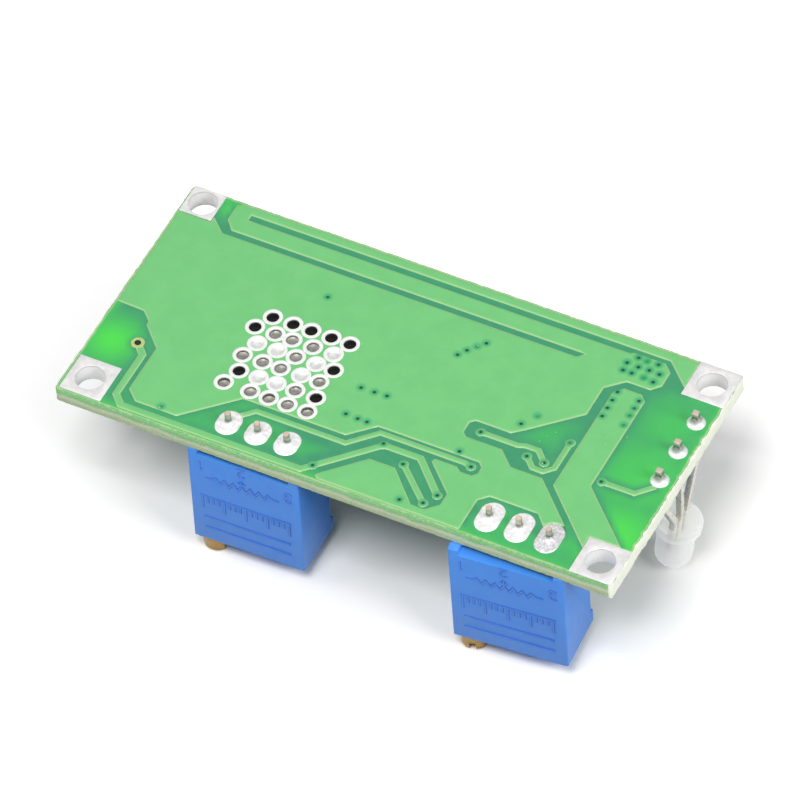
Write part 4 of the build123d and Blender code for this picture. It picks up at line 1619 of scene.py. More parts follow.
@dataclass
class HeatVias:
    """Thirty vias under the regulator: domed tinned rings, some filled with solder, the open ones
    painted dark inside as painted shadow.

    Attributes:
        hole: Radius of the hole.
        ring: Outer radius of the ring.
        thickness: Height of the ring.
        fills: What fills each via, by rows from the back, left to right.
    """

    hole: float = 0.5
    ring: float = 0.81
    thickness: float = 0.11
    fills: tuple[str, ...] = ("ooooo", "olllb", "bblbo", "lllbl", "obblo", "dldld")

    STEPS = 28
    # How deep each fill lies, and the number of its finish; an open via has a painted shadow in
    # place of a fill.
    DEPTHS = {ViaFill.OPEN: 0.55, ViaFill.DEEP: 0.34, ViaFill.DULL: 0.2, ViaFill.BRIGHT: 0.05}
    FINISHES = {ViaFill.OPEN: 3, ViaFill.DEEP: 2, ViaFill.DULL: 2, ViaFill.BRIGHT: 1}
    # The fill's hollow top: radius as a part of the hole's, and height over the fill's level.
    HOLLOW = ((1.0, 0.04), (0.8, -0.03), (0.45, -0.08), (0.0, -0.1))

    def centres(self) -> list[list[np.ndarray]]:
        """The vias' middles.

        Returns:
            Rows from the back, each from the left.
        """
        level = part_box("laminate")[1].z / MM
        found = [
            loop.mean(0) for loop in outlines_of("laminate", level)
            if abs(np.linalg.norm(loop - loop.mean(0), axis=1).max() - self.hole) < 0.02
        ]
        found.sort(key=lambda centre: -centre[1])
        size = len(found) // len(self.fills)
        rows = [found[start : start + size] for start in range(0, len(found), size)]
        return [sorted(row, key=lambda centre: centre[0]) for row in rows]

    def build(self) -> None:
        """Makes the rings, their walls and what fills them."""
        low, high = (corner.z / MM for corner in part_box("laminate"))
        top, rim, wall = self.thickness, self.hole + 0.03, self.hole - 0.01
        profile = [
            (self.ring, 0.0), (self.ring - 0.005, top * 0.6), (self.ring - 0.03, top * 0.88),
            (self.ring - 0.1, top), (rim + 0.04, top), (rim - 0.02, top * 0.7), (wall, -0.02),
        ]
        barrel = [(wall, -0.02), (wall, low - high)]
        shape = Shape()
        for row, fills in zip(self.centres(), self.fills):
            for centre, letter in zip(row, fills):
                seat = Matrix.Translation((centre[0], centre[1], high))
                kind = ViaFill(letter)
                shape.turn(profile, seat, self.STEPS)
                # An open via's wall is the painted shadow.
                shape.turn(barrel, seat, self.STEPS, 3 if kind is ViaFill.OPEN else 2)
                level, reach = -self.DEPTHS[kind], self.hole - 0.005
                hollow = [(part * reach, level + rise) for part, rise in self.HOLLOW]
                shape.turn(hollow, seat, self.STEPS, self.FINISHES[kind])
        place_piece(
            "heat_via_tin", shape.mesh("heat_via_tin"), [RING_TIN, SOLDER, DULL_SOLDER, SHADOW],
            nodes=["heat_via_rings"],
        )


@dataclass
class LooseMarks:
    """Small things on the mask: the one bare via ring with a painted shadow in its hole, and pale
    flecks, of which those beside vias are painted glints.

    Attributes:
        ring_at: The ring's place, from the front left corner.
        level: Height of the mask over the copper.
        flecks: Place and length of each fleck, from the front left corner; those beside vias are
            painted glints.
    """

    ring_at: tuple[float, float] = (3.8, 6.7)
    level: float = 13.12
    flecks: tuple[tuple[float, float, float], ...] = (
        (8.45, 1.62, 0.16), (27.95, 17.2, 0.14), (37.8, 8.72, 0.16), (36.6, 10.6, 0.1),
        (36.9, 11.3, 0.08), (37.3, 11.9, 0.1), (41.3, 12.4, 0.1), (41.1, 13.1, 0.08),
        (42.5, 13.7, 0.12), (41.6, 13.9, 0.07), (39.7, 12.2, 0.06), (13.1, 2.1, 0.07),
        (24.8, 2.9, 0.06), (45.2, 14.6, 0.07), (44.1, 12.2, 0.06), (20.4, 14.7, 0.06),
        (9.2, 18.1, 0.05), (33.4, 16.2, 0.06), (17.3, 19.2, 0.05), (30.7, 13.4, 0.05),
    )

    STEPS = 24
    # Radius and height of the ring, and of the painted shadow that fills its hole.
    RING = ((0.56, -0.02), (0.53, 0.01), (0.44, 0.02), (0.34, 0.018), (0.27, 0.006))
    FILL = ((0.27, 0.006), (0.2, 0.004), (0.0, 0.004))
    # A fleck's outline, as parts of its length, and how far each is turned from the last.
    FLECK_OUTLINE = (
        (-0.5, -0.1), (-0.1, -0.28), (0.4, -0.12), (0.5, 0.1), (0.05, 0.26), (-0.35, 0.2),
    )
    FLECK_TURN = 2.4

    def seat(self, x: float, y: float, lift: float = 0.0) -> Matrix:
        """A place on the mask.

        Args:
            x: Its place along the board, from the front left corner.
            y: Its place across the board, from there.
            lift: How far over the mask it lies.

        Returns:
            The matrix that moves a shape there.
        """
        return Matrix.Translation((x - HALF_BOARD[0], y - HALF_BOARD[1], self.level + lift))

    def build(self) -> None:
        """Makes the ring and the flecks."""
        seat = self.seat(*self.ring_at)
        shape = Shape()
        shape.turn(self.RING, seat, self.STEPS, 0)
        # The hole's fill is the painted shadow.
        shape.turn(self.FILL, seat, self.STEPS, 1)
        for index, (x, y, length) in enumerate(self.flecks):
            place = self.seat(x, y, 0.004) @ Matrix.Rotation(index * self.FLECK_TURN, 4, "Z")
            corners = [place @ Vector((u * length, v * length, 0)) for u, v in self.FLECK_OUTLINE]
            shape.add(corners, [tuple(range(len(corners)))], 2)
        place_piece(
            "mask_details", shape.mesh("mask_details"), [RING_COPPER, SHADOW, FLECK_AND_GLINT],
        )


@dataclass
class Joint:
    """Solder on one pad, drawn up round a wire.

    Attributes:
        x: The wire's place along the board.
        y: The wire's place across the board.
        length: The pad's length, across the board.
        width: The pad's width.
        height: How far the solder climbs.
        wire: Radius of the wire.
        steep: Whether the solder stands up in a cone.
        steps: Points round the pad.
    """

    x: float
    y: float
    length: float
    width: float
    height: float
    wire: float
    steep: bool = False
    steps: int = 40

    # How far in each ring lies, 0 at the pad's edge and 1 at the wire, and how high.
    FLAT = (
        (0.0, 0.0), (0.03, 0.1), (0.1, 0.15), (0.3, 0.19), (0.5, 0.23), (0.7, 0.31),
        (0.84, 0.48), (0.94, 0.74), (1.0, 1.0),
    )
    STEEP = (
        (0.0, 0.0), (0.03, 0.07), (0.12, 0.13), (0.3, 0.22), (0.5, 0.36), (0.68, 0.54),
        (0.84, 0.75), (0.95, 0.92), (1.0, 1.0),
    )
    UNEVEN = 0.05  # how far the solder strays between the pad's edge and the wire
    UNEVEN_FINENESS = 1.6

    def edge(self, angle: float) -> tuple[float, float]:
        """The pad's outline, a slot with round ends.

        Args:
            angle: The direction from the wire.

        Returns:
            The outline's place, from the wire.
        """
        straight = (self.length - self.width) / 2
        radius = self.width / 2
        x, y = radius * math.cos(angle), radius * math.sin(angle)
        return x, y + math.copysign(straight, y) if abs(y) > 1e-9 else y

    def add_to(self, shape: Shape, level: float, slot: int = 0) -> None:
        """Adds the solder to a shape.

        Args:
            shape: The shape that takes it.
            level: Height of the pad.
            slot: The solder's finish.
        """
        angles = [math.tau * (step + 0.5) / self.steps for step in range(self.steps)]
        rings = []
        for inward, rise in self.STEEP if self.steep else self.FLAT:
            ring = []
            for angle in angles:
                outer = self.edge(angle)
                inner = (self.wire * math.cos(angle), self.wire * math.sin(angle))
                x = self.x + outer[0] + (inner[0] - outer[0]) * inward
                y = self.y + outer[1] + (inner[1] - outer[1]) * inward
                stray = noise.noise(Vector((x, y, 3.0)) * self.UNEVEN_FINENESS) * self.UNEVEN
                stray *= inward * (1 - inward) * 4
                ring.append(Vector((x, y, level + self.height * rise + stray)))
            rings.append(ring)
        shape.loft(rings, slot)


DIGITS: dict[str, Line] = {
    "1": ((0.25, 0.78), (0.5, 1.0), (0.5, 0.0)),
    "2": ((0.05, 0.8), (0.25, 1.0), (0.7, 1.0), (0.9, 0.8), (0.85, 0.58), (0.05, 0.0), (0.95, 0.0)),
    "3": (
        (0.05, 0.9), (0.3, 1.0), (0.75, 1.0), (0.9, 0.78), (0.7, 0.54), (0.35, 0.52),
        (0.7, 0.5), (0.95, 0.26), (0.75, 0.0), (0.25, 0.0), (0.05, 0.12),
    ),
}


@dataclass
class Relief:
    """Shallow raised strokes on a flat face, with painted shade on their sides and ends.

    Attributes:
        face: Places the face: X and Y run in it, Z stands off it.
        width: Width of a stroke.
        height: How far it stands off.
    """

    face: Matrix
    width: float = 0.27
    height: float = 0.04

    SINK = 0.02  # how far a stroke's foot is sunk into the face
    FOOT, CREST = 0.5, 0.2  # half of a stroke at its foot and on top, as parts of its width
    DIGIT_WIDTH = 0.7  # a digit's width as a part of its height, and its strokes' width

    def stroke(self, shape: Shape, line: Line) -> None:
        """Adds one stroke.

        Args:
            shape: The shape that takes it.
            line: Its middle line in the face.
        """
        points = [Vector((x, y)) for x, y in line]
        ahead = [(after - before).normalized() for before, after in zip(points, points[1:])]
        section = (
            (self.FOOT, -self.SINK), (self.CREST, self.height),
            (-self.CREST, self.height), (-self.FOOT, -self.SINK),
        )
        corners = []
        for index, point in enumerate(points):
            before = ahead[max(index - 1, 0)]
            after = ahead[min(index, len(ahead) - 1)]
            middle = before + after
            middle = middle.normalized() if middle.length > 0.1 else after
            side = Vector((-middle.y, middle.x)) / max(middle.dot(after), 0.5)
            for reach, level in section:
                corner = point + side * self.width * reach
                corners.append(self.face @ Vector((corner.x, corner.y, level)))
        last = len(corners) - 4
        # The sides take the painted shade, the top the housing's blue.
        for part, slot in enumerate((0, 1, 0)):
            starts = range(part, part + last, 4)
            shape.add(corners, [(low, low + 4, low + 5, low + 1) for low in starts], slot)
        shape.add(corners, [(0, 1, 2, 3), (last + 3, last + 2, last + 1, last)])

    def digit(self, shape: Shape, name: str, x: float, y: float, size: float) -> None:
        """Adds a digit that stands on its head, as the part is mounted upside down.

        Args:
            shape: The shape that takes it.
            name: The digit.
            x: Its middle along the face.
            y: Its middle up the face.
            size: Its height.
        """
        wide = size * self.DIGIT_WIDTH
        thin = Relief(self.face, self.width * self.DIGIT_WIDTH, self.height)
        thin.stroke(shape, [(x - (u - 0.5) * wide, y - (v - 0.5) * size) for u, v in DIGITS[name]])


@dataclass
class Trimmer:
    """One multi-turn trimmer: housing, screw, three pins and their joints.

    Attributes:
        number: 1 or 2.
        joint_length: Length of its solder pads.
        slot_turn: How far its screw has been turned, in degrees.
        grey_joint: Which of its joints is grey and grainy, from 0 at the left, if one is.
        pitch: Distance between its pins.
        pin_radius: Radius of a pin.
        pad_width: Width of a solder pad.
        joint_height: How far the solder climbs.
    """

    number: int
    joint_length: float
    slot_turn: float = 0.0
    grey_joint: Union[int, None] = None
    pitch: float = 2.54
    pin_radius: float = 0.25
    pad_width: float = 1.95
    joint_height: float = 0.45

    # The sign on the front: its height as a part of the face's, its ends, and its teeth.
    SIGN_ROW = 0.72
    SIGN_ENDS = (0.14, 0.82)
    TEETH, TOOTH = 14, 0.28
    TEETH_FROM, TEETH_SPAN = 0.2, 0.56
    # The wiper, an arrow onto the sign's middle, from the sign's row.
    WIPER_AT, WIPER_TOP, WIPER_FOOT, WIPER_TIP, BARB = 0.48, 0.95, 0.4, 0.36, (0.28, 0.72)
    # Each pin number with its place, as parts of the face's width and height, and its size.
    NUMBERS = (("1", 0.1, 0.84, 1.0), ("2", WIPER_AT, 0.9, 0.9), ("3", 0.91, 0.8, 1.0))
    # The scale over its two lines: ticks, levels and ends, as parts of the face.
    TICKS, TICK_FROM, TICK_PITCH = 17, 0.1, 0.05
    SCALE_ROW, LONG_TICK, SHORT_TICK = 0.5, 0.36, 0.43
    SCALE_ENDS, LINE_ENDS = (0.08, 0.92), (0.1, 0.9)
    LINE_ROWS = (0.26, 0.14)
    # The pins' tips: how far each is cut on a slant, radius and reach below the top.
    SLANTS = (0.35, -0.2, 0.25)
    TIP = ((1.0, 0.12), (0.97, 0.06), (0.85, 0.01))
    PIN_STEPS = 24

    def node(self, part: str) -> str:
        """The name of one of its solids."""
        return f"trimmer_{self.number}_{part}"

    def pins(self) -> list[tuple[float, float]]:
        """The pins' places.

        Returns:
            Three places over the board, from the left.
        """
        low, high = (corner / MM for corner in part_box(self.node("pins")))
        middle = (low + high) / 2
        return [(middle.x + self.pitch * step, middle.y) for step in (-1, 0, 1)]

    def front(self) -> tuple[Matrix, float, float]:
        """The housing's front face.

        Returns:
            A matrix with its origin in the face's lower left corner, the width and the height.
        """
        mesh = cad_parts[self.node("housing")].data
        faces = [face for face in mesh.polygons if face.normal.y < -0.95]
        out = sum((face.normal * face.area for face in faces), Vector()).normalized()
        up = (Vector((0, 0, 1)) - out * out.z).normalized()
        right = up.cross(out)
        points = [mesh.vertices[index].co / MM for face in faces for index in face.vertices]
        across, upward = ([point.dot(axis) for point in points] for axis in (right, up))
        depth = max(point.dot(out) for point in points)
        turn = Matrix((right, up, out)).transposed().to_4x4()
        origin = right * min(across) + up * min(upward) + out * depth
        width, height = (max(reaches) - min(reaches) for reaches in (across, upward))
        return Matrix.Translation(origin) @ turn, width, height

    def sign(self, width: float, height: float) -> list[Line]:
        """A resistor with its wiper.

        Args:
            width: The face's width.
            height: The face's height.

        Returns:
            The strokes' middle lines.
        """
        row, middle = height * self.SIGN_ROW, width * self.WIPER_AT
        zigzag = [
            (
                width * (self.TEETH_FROM + self.TEETH_SPAN * step / self.TEETH),
                row + (self.TOOTH if step % 2 else -self.TOOTH) * (0 < step < self.TEETH),
            )
            for step in range(self.TEETH + 1)
        ]
        start, end = ((width * part, row) for part in self.SIGN_ENDS)
        aside, back = self.BARB
        tip = (middle, row + self.WIPER_TIP)
        return [
            [start, *zigzag, end],
            [(middle, row + self.WIPER_TOP), (middle, row + self.WIPER_FOOT)],
            [(middle - aside, row + back), tip, (middle + aside, row + back)],
        ]

    def scale(self, width: float, height: float) -> list[Line]:
        """A plain scale over two lines.

        Args:
            width: The face's width.
            height: The face's height.

        Returns:
            The strokes' middle lines.
        """
        row = height * self.SCALE_ROW
        lines: list[Line] = []
        for tick in range(self.TICKS):
            x = width * (self.TICK_FROM + self.TICK_PITCH * tick)
            foot = height * (self.SHORT_TICK if tick % 4 else self.LONG_TICK)
            lines.append([(x, row), (x, foot)])
        lines.append([(width * end, row) for end in self.SCALE_ENDS])
        for part in self.LINE_ROWS:
            lines.append([(width * end, height * part) for end in self.LINE_ENDS])
        return lines

    def build_marks(self) -> None:
        """Raises the marks on the front: a resistor with its wiper, pin numbers, a plain scale."""
        face, width, height = self.front()
        relief, shape = Relief(face), Shape()
        for line in self.sign(width, height):
            relief.stroke(shape, line)
        for name, across, up, size in self.NUMBERS:
            relief.digit(shape, name, width * across, height * up, size)
        for line in self.scale(width, height):
            relief.stroke(shape, line)
        mesh = shape.mesh(self.node("marks"))
        turn_outward(mesh)
        # The strokes' sides and ends are painted shade.
        place_piece(
            self.node("marks"), mesh, [TRIMMER_RELIEF_SHADE, TRIMMER_BLUE], crease=20,
        )

    def build_housing(self) -> None:
        """Rounds the housing's edges."""
        place_piece(
            self.node("case"), softened(self.node("housing"), 0.09, 2), [TRIMMER_BLUE],
            nodes=[self.node("housing")],
        )

    def build_screw(self) -> None:
        """Rounds the screw's edges and turns its slot to where it was left."""
        mesh = softened(self.node("screw"), 0.2, 5)
        low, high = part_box(self.node("screw"))
        axis = Matrix.Translation((low + high) / 2)
        turn = Matrix.Rotation(math.radians(self.slot_turn), 4, "Z")
        mesh.transform(axis @ turn @ axis.inverted())
        place_piece(
            self.node("screw_head"), mesh, [BRASS],
            f"trimmer_{self.number}_screw_body", [self.node("screw")],
        )

    def build_pins(self) -> None:
        """Makes the round pins with their clipped tips."""
        low, high = (corner.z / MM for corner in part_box(self.node("pins")))
        profile = [(self.pin_radius, low)]
        profile += [(self.pin_radius * part, high - reach) for part, reach in self.TIP]
        angles = [math.tau * step / self.PIN_STEPS for step in range(self.PIN_STEPS)]
        shape = Shape()
        for (x, y), slant in zip(self.pins(), self.SLANTS):
            rings = []
            for index, (radius, height) in enumerate(profile):
                fall = slant * 0.4 * radius if index > 1 else 0.0
                rings.append([
                    Vector((
                        x + radius * math.cos(angle), y + radius * math.sin(angle),
                        height - fall * (1 - math.cos(angle)),
                    ))
                    for angle in angles
                ])
            shape.loft(rings, capped=True)
        place_piece(
            self.node("wires"), shape.mesh(self.node("wires")), [TINNED_WIRE],
            nodes=[self.node("pins")],
        )

    def build_joints(self) -> None:
        """Makes the solder on the three pads."""
        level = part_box(self.node("joints"))[0].z / MM
        shape = Shape()
        for index, (x, y) in enumerate(self.pins()):
            joint = Joint(
                x, y, self.joint_length, self.pad_width, self.joint_height, self.pin_radius,
            )
            joint.add_to(shape, level, 1 if index == self.grey_joint else 0)
        place_piece(
            self.node("solder"), shape.mesh(self.node("solder")), [TRIMMER_JOINT, GREY_JOINT],
            nodes=[self.node("joints")], crease=80,
        )

    def build(self) -> None:
        """Makes the trimmer."""
        self.build_housing()
        self.build_marks()
        self.build_screw()
        self.build_pins()
        self.build_joints()


@dataclass
class Lamp:
    """The three-leg lamp: cast lens with its flange, bent legs, joints.

    Attributes:
        seat: Where the legs enter the lens.
        lean: How far it leans forward and to the left, in degrees.
        radius: Radius of the lens.
        flange: Radius of the flange.
        flange_thickness: Its thickness.
        length: Length of the lens.
        spread: Distance between its holes in the board.
        pad_radius: Radius of a solder pad.
        joint_height: How far the solder climbs.
        leg: Half the width of a leg.
    """

    seat: tuple[float, float, float] = (22.55, 2.27, 5.4107)
    lean: tuple[float, float] = (2.0, 8.0)
    radius: float = 1.5
    flange: float = 1.9
    flange_thickness: float = 1.0
    length: float = 5.3
    spread: float = 3.14
    pad_radius: float = 0.76
    joint_height: float = 0.75
    leg: float = 0.25

    DOME_STEPS = 12
    STEPS = 56

    def frame(self) -> Matrix:
        """Places the lens.

        Returns:
            A matrix whose Z runs from the flange to the tip of the dome.
        """
        forward, left = (math.radians(angle) for angle in self.lean)
        lean = Matrix.Rotation(-forward, 4, "X") @ Matrix.Rotation(left, 4, "Y")
        return Matrix.Translation(self.seat) @ lean @ Matrix.Rotation(math.pi, 4, "X")

    def profile(self) -> list[tuple[float, float]]:
        """The lens's outline.

        Returns:
            Radius and depth of each point.
        """
        dome = self.length - self.radius
        rim, body, thick = self.flange, self.radius, self.flange_thickness
        points = [
            (0.0, 0.0), (rim - 0.12, 0.0), (rim - 0.03, 0.03), (rim, 0.12),
            (rim, thick - 0.12), (rim - 0.04, thick - 0.03), (rim - 0.14, thick),
            (body + 0.08, thick + 0.01), (body + 0.01, thick + 0.08), (body, thick + 0.2),
        ]
        for step in range(self.DOME_STEPS + 1):
            angle = math.pi / 2 * step / self.DOME_STEPS
            points.append((body * math.cos(angle), dome + body * math.sin(angle)))
        points[-1] = (0.0, self.length)
        return points

    def build(self) -> None:
        """Makes the lamp."""
        shape = Shape()
        shape.turn(self.profile(), self.frame(), self.STEPS)
        mesh = shape.mesh("lamp_glass")
        turn_outward(mesh)
        place_piece("lamp_glass", mesh, [LAMP_RESIN], nodes=["lamp_lens"], crease=60)
        place_piece(
            "lamp_wires", softened("lamp_legs", 0.15, 3), [LAMP_WIRE],
            nodes=["lamp_legs"],
        )
        low, high = (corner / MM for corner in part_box("lamp_joints"))
        middle = (low + high) / 2
        size = 2 * self.pad_radius
        solder = Shape()
        for step in (-1, 0, 1):
            place = (middle.x, middle.y + self.spread * step)
            joint = Joint(*place, size, size, self.joint_height, self.leg, steep=True)
            joint.add_to(solder, low.z)
        place_piece(
            "lamp_solder", solder.mesh("lamp_solder"), [LAMP_JOINT],
            nodes=["lamp_joints"], crease=80,
        )


@dataclass
class Capacitor:
    """An aluminium capacitor: crimped can on a moulded base.

    Attributes:
        name: The start of its solids' names.
        heading: Which way its negative side lies, in degrees.
        edge: Radius of the can's rim.
        dish: How deep the middle of its end lies.
        crimp: Depth of the groove round its foot.
        crimp_at: How far from the foot the groove's middle lies.
        crimp_width: The groove's width.
    """

    name: str
    heading: float
    edge: float = 0.45
    dish: float = 0.12
    crimp: float = 0.25
    crimp_at: float = 1.3
    crimp_width: float = 0.7

    STEPS, EDGE_STEPS, CRIMP_STEPS = 64, 6, 8

    def profile(self, radius: float, foot: float, end: float) -> list[tuple[float, float]]:
        """Radius and height along the can.

        Args:
            radius: The can's radius.
            foot: Height of its crimped foot, which is up here.
            end: Height of its flat end.

        Returns:
            The points from the middle of the end to the middle of the foot.
        """
        flat = radius - self.edge
        points = [(0.0, end + self.dish), (flat - 0.5, end + self.dish), (flat - 0.3, end)]
        for step in range(self.EDGE_STEPS + 1):
            angle = math.pi / 2 * step / self.EDGE_STEPS
            points.append((
                flat + self.edge * math.sin(angle), end + self.edge * (1 - math.cos(angle)),
            ))
        start = foot - self.crimp_at - self.crimp_width / 2
        for step in range(self.CRIMP_STEPS + 1):
            part = step / self.CRIMP_STEPS
            depth = self.crimp * math.sin(math.pi * part) ** 2
            points.append((radius - depth, start + self.crimp_width * part))
        return points + [(radius, foot), (0.0, foot)]

    def build(self) -> None:
        """Makes the can and rounds the base."""
        low, high = (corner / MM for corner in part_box(self.name + "_can"))
        centre = (low + high) / 2
        foot, end = high.z, low.z
        profile = self.profile((high.x - low.x) / 2, foot, end)
        shape = Shape()
        shape.turn(profile, Matrix.Translation((centre.x, centre.y, 0)), self.STEPS)
        mesh = shape.mesh(self.name + "_sleeve")
        turn_outward(mesh)
        finish = CanFinish(
            self.name + "_aluminium", shade(184, 186, 190), shade(168, 170, 174),
            grain=0.8, roughness=0.28, metallic=1.0, relief=0.004, relief_grain=0.1,
            stretch=(1, 1, 0.1), centre=(centre.x, centre.y), heading=self.heading, end_level=end,
        )
        place_piece(
            self.name + "_sleeve", mesh, [finish], nodes=[self.name + "_can"],
        )
        place_piece(
            self.name + "_foot", softened(self.name + "_base", 0.12), [BLACK_MOULDING],
            nodes=[self.name + "_base"],
        )
        dress(self.name + "_leads", TINNED_WIRE)


@dataclass
class SoftPart:
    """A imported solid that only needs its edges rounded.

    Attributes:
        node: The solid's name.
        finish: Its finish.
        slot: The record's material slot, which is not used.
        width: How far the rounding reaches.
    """

    node: str
    finish: Finish
    slot: str
    width: float

    def build(self) -> None:
        """Makes the rounded piece."""
        mesh = softened(self.node, self.width)
        place_piece(self.node + "_piece", mesh, [self.finish], nodes=[self.node])


SOFT_PARTS = (
    *(
        SoftPart(side + "_pad", TINNED_PAD, "tinned_copper", 0.04)
        for side in ("input_plus", "input_minus", "output_plus", "output_minus")
    ),
    SoftPart("regulator_body", BLACK_MOULDING, "black_moulding", 0.12),
    SoftPart("regulator_tab", TINNED_TAB, "tinned_tab", 0.08),
    SoftPart("regulator_leads", TINNED_WIRE, "tinned_wire", 0.06),
    SoftPart("diode_body", BLACK_MOULDING, "black_moulding", 0.08),
    SoftPart("diode_straps", TINNED_WIRE, "tinned_wire", 0.04),
    SoftPart("amplifier_body", BLACK_MOULDING, "black_moulding", 0.06),
    SoftPart("amplifier_leads", TINNED_WIRE, "tinned_wire", 0.03),
    SoftPart("reference_body", BLACK_MOULDING, "black_moulding", 0.06),
    SoftPart("inductor_shield", FERRITE, "ferrite", 0.14),
    SoftPart("inductor_drum", FERRITE, "ferrite", 0.1),
    SoftPart("inductor_straps", TINNED_WIRE, "tinned_wire", 0.05),
    SoftPart("chip_resistor_blocks", RESISTOR_GLAZE, "resistor_ceramic", 0.04),
    SoftPart("chip_resistor_ends", SOLDER, "solder", 0.05),
    SoftPart("chip_capacitor_blocks", CAPACITOR_CERAMIC, "capacitor_ceramic", 0.06),
    SoftPart("chip_capacitor_ends", SOLDER, "solder", 0.08),
)
PLAIN_PARTS = (
    ("component_lands", TINNED_PAD),
    ("inductor_coil", COIL_COPPER),
    ("reference_leads", TINNED_WIRE),
)


# --------------------------------------------------------------------------- studio


@dataclass(frozen=True)
class SoftLamp:
    """A soft square lamp that looks at the board.

    Attributes:
        name: Its name.
        place: Where it hangs, in metres.
        size: Its side, in metres.
        power: Its power in watts.
    """

    name: str
    place: tuple[float, float, float]
    size: float
    power: float

    def build(self) -> None:
        """Hangs the lamp."""
        data = bpy.data.lights.new(self.name, "AREA")
        data.shape = "SQUARE"
        data.size = self.size
        data.energy = self.power
        lamp = bpy.data.objects.new(self.name, data)
        lamp.location = self.place
        lamp.rotation_euler = (-Vector(self.place)).to_track_quat("-Z", "Y").to_euler()
        bpy.context.scene.collection.objects.link(lamp)


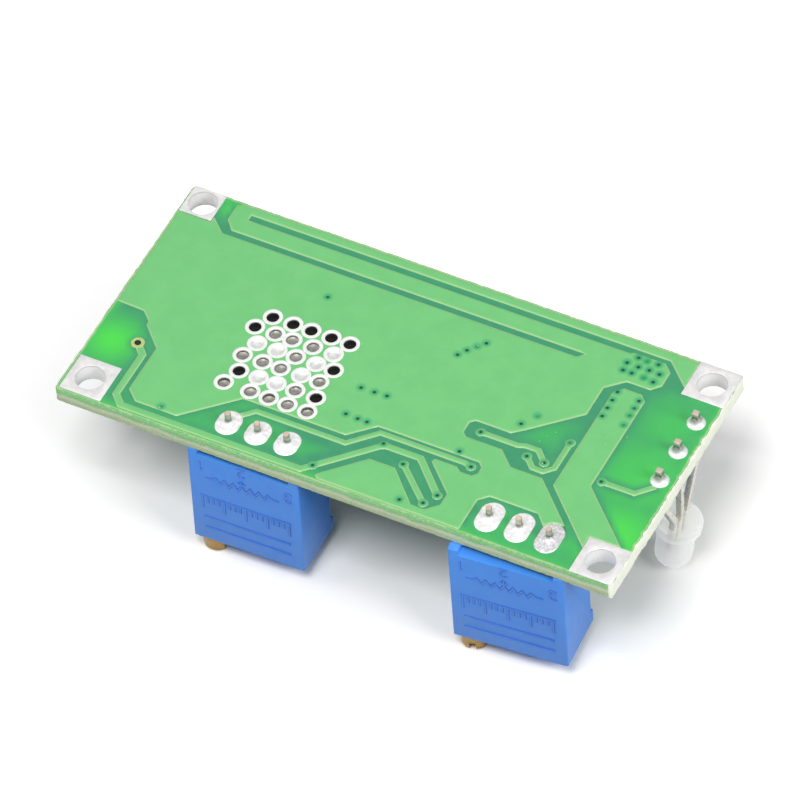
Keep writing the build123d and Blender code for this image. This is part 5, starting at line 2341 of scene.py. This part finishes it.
@dataclass
class Studio:
    """The table, the light and the camera.

    Attributes:
        eye: The camera's place in millimetres.
        look: The direction it looks in.
        up: Which way is up in the picture.
        lens: Its focal length in millimetres.
        film: Width of its picture in millimetres.
        reach: How far the table reaches from its middle, in millimetres.
        lamps: What lights the board besides the sky.
    """

    eye: tuple[float, float, float] = (249.34, -409.72, 569.83)
    look: tuple[float, float, float] = (-0.33857, 0.55630, -0.75888)
    up: tuple[float, float, float] = (-0.31337, 0.69381, 0.64840)
    lens: float = 430.97
    film: float = 36.0
    reach: float = 1500.0
    lamps: tuple[SoftLamp, ...] = (
        SoftLamp("front", (0.04, -0.4, 0.84), 0.35, 4.4),
        SoftLamp("overhead", (-0.05, 0.15, 0.9), 0.8, 0.6),
        SoftLamp("right", (0.68, -0.1, 0.5), 0.4, 3.2),
        SoftLamp("left", (-0.62, -0.25, 0.5), 0.4, 1.1),
    )

    # The table's colour where it is lit, and where metal or glass mirrors it.
    LIT = shade(170, 170, 170)
    MIRRORED = grey(1.25)
    # Its colour to the camera: under the board, round it and far off, painted brighter away from
    # the board as painted light that lifts the shade there to white, so that only the shade under
    # the board is darker than white.
    UNDER = (1.2, 1.18, 1.17, 1.0)
    ROUND = grey(1.8)
    FAR = grey(6.0)
    # How far from the board's middle the second and the third begin and are full.
    ROUND_RISE = (17.0, 55.0)
    FAR_RISE = (120.0, 1200.0)
    SKY = shade(84, 86, 88)

    @staticmethod
    def seen_straight(graph: Graph) -> Signal:
        """1 for what the camera sees straight."""
        return graph.node("ShaderNodeLightPath", {}, {}, "Is Camera Ray")

    @staticmethod
    def seen_mirrored(graph: Graph) -> Signal:
        """1 for what the camera sees in metal or glass.

        Args:
            graph: The material's nodes.

        Returns:
            The mask, 0 or 1.
        """
        mirrored = graph.node("ShaderNodeLightPath", {}, {}, "Is Glossy Ray")
        refracted = graph.node("ShaderNodeLightPath", {}, {}, "Is Transmission Ray")
        return (mirrored + refracted).clipped()

    def build_table(self) -> None:
        """Makes the white table."""
        around = ((-1, -1), (1, -1), (1, 1), (-1, 1))
        shape = Shape()
        shape.add([(x * self.reach, y * self.reach, 0) for x, y in around], [(0, 1, 2, 3)])
        mesh = shape.mesh("table")
        table = bpy.data.objects.new("table", mesh)
        bpy.context.scene.collection.objects.link(table)
        material = bpy.data.materials.new("white_table")
        material.use_nodes = True
        graph = Graph(material.node_tree)
        settings = {"operation": "LENGTH"}
        away = graph.node("ShaderNodeVectorMath", settings, {0: graph.place()}, "Value")
        # Painted light: the table grows brighter to the camera away from the board.
        seen = graph.blend(graph.rise(away, *self.ROUND_RISE), self.UNDER, self.ROUND)
        seen = graph.blend(graph.rise(away, *self.FAR_RISE), seen, self.FAR)
        other = graph.blend(self.seen_mirrored(graph), self.LIT, self.MIRRORED)
        colour = graph.blend(self.seen_straight(graph), other, seen)
        surface = graph.node("ShaderNodeBsdfPrincipled", {}, {
            "Base Color": colour, "Roughness": 0.9, "Specular IOR Level": 0.1,
        })
        graph.raw("ShaderNodeOutputMaterial", {}, {"Surface": surface})
        mesh.materials.append(material)
        log.info("table: staged")

    def build_world(self) -> None:
        """Lights everything softly from all round, white where the camera sees past the table."""
        world = bpy.data.worlds.new("studio")
        bpy.context.scene.world = world
        world.use_nodes = True
        graph = Graph(world.node_tree)
        seen = (self.seen_straight(graph) + self.seen_mirrored(graph)).clipped()
        colour = graph.blend(seen, self.SKY, grey(1.0))
        sky = graph.node("ShaderNodeBackground", {}, {"Color": colour, "Strength": 1.0})
        graph.raw("ShaderNodeOutputWorld", {}, {"Surface": sky})

    def build_camera(self) -> None:
        """Sets the camera where the photograph was taken from."""
        look, up = Vector(self.look).normalized(), Vector(self.up)
        right = look.cross(up).normalized()
        up = right.cross(look)
        data = bpy.data.cameras.new("camera")
        data.lens = self.lens
        data.sensor_width = self.film
        data.clip_start = 0.01
        camera = bpy.data.objects.new("camera", data)
        turn = Matrix((right, up, -look)).transposed().to_4x4()
        camera.matrix_world = Matrix.Translation(Vector(self.eye) * MM) @ turn
        bpy.context.scene.collection.objects.link(camera)
        bpy.context.scene.camera = camera

    def build(self) -> None:
        """Makes the studio."""
        bpy.context.scene.view_settings.view_transform = "Standard"
        self.build_camera()
        self.build_table()
        self.build_world()
        for lamp in self.lamps:
            lamp.build()


def main() -> None:
    """Builds the dressed board, piece by piece."""
    logging.basicConfig(level=logging.INFO, format="%(name)s: %(message)s")
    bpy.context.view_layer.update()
    Studio().build()
    heat_vias = HeatVias()
    copper = Copper().build(heat_vias)
    Laminate().build(copper)
    heat_vias.build()
    LooseMarks().build()
    Trimmer(1, joint_length=2.45, slot_turn=70.0).build()
    Trimmer(2, joint_length=3.0, slot_turn=10.0, grey_joint=2).build()
    Lamp().build()
    for capacitor in (Capacitor("input_capacitor", 90), Capacitor("output_capacitor", 0)):
        capacitor.build()
    for part in SOFT_PARTS:
        part.build()
    for node, finish in PLAIN_PARTS:
        dress(node, finish)


if __name__ == "__main__":
    main()
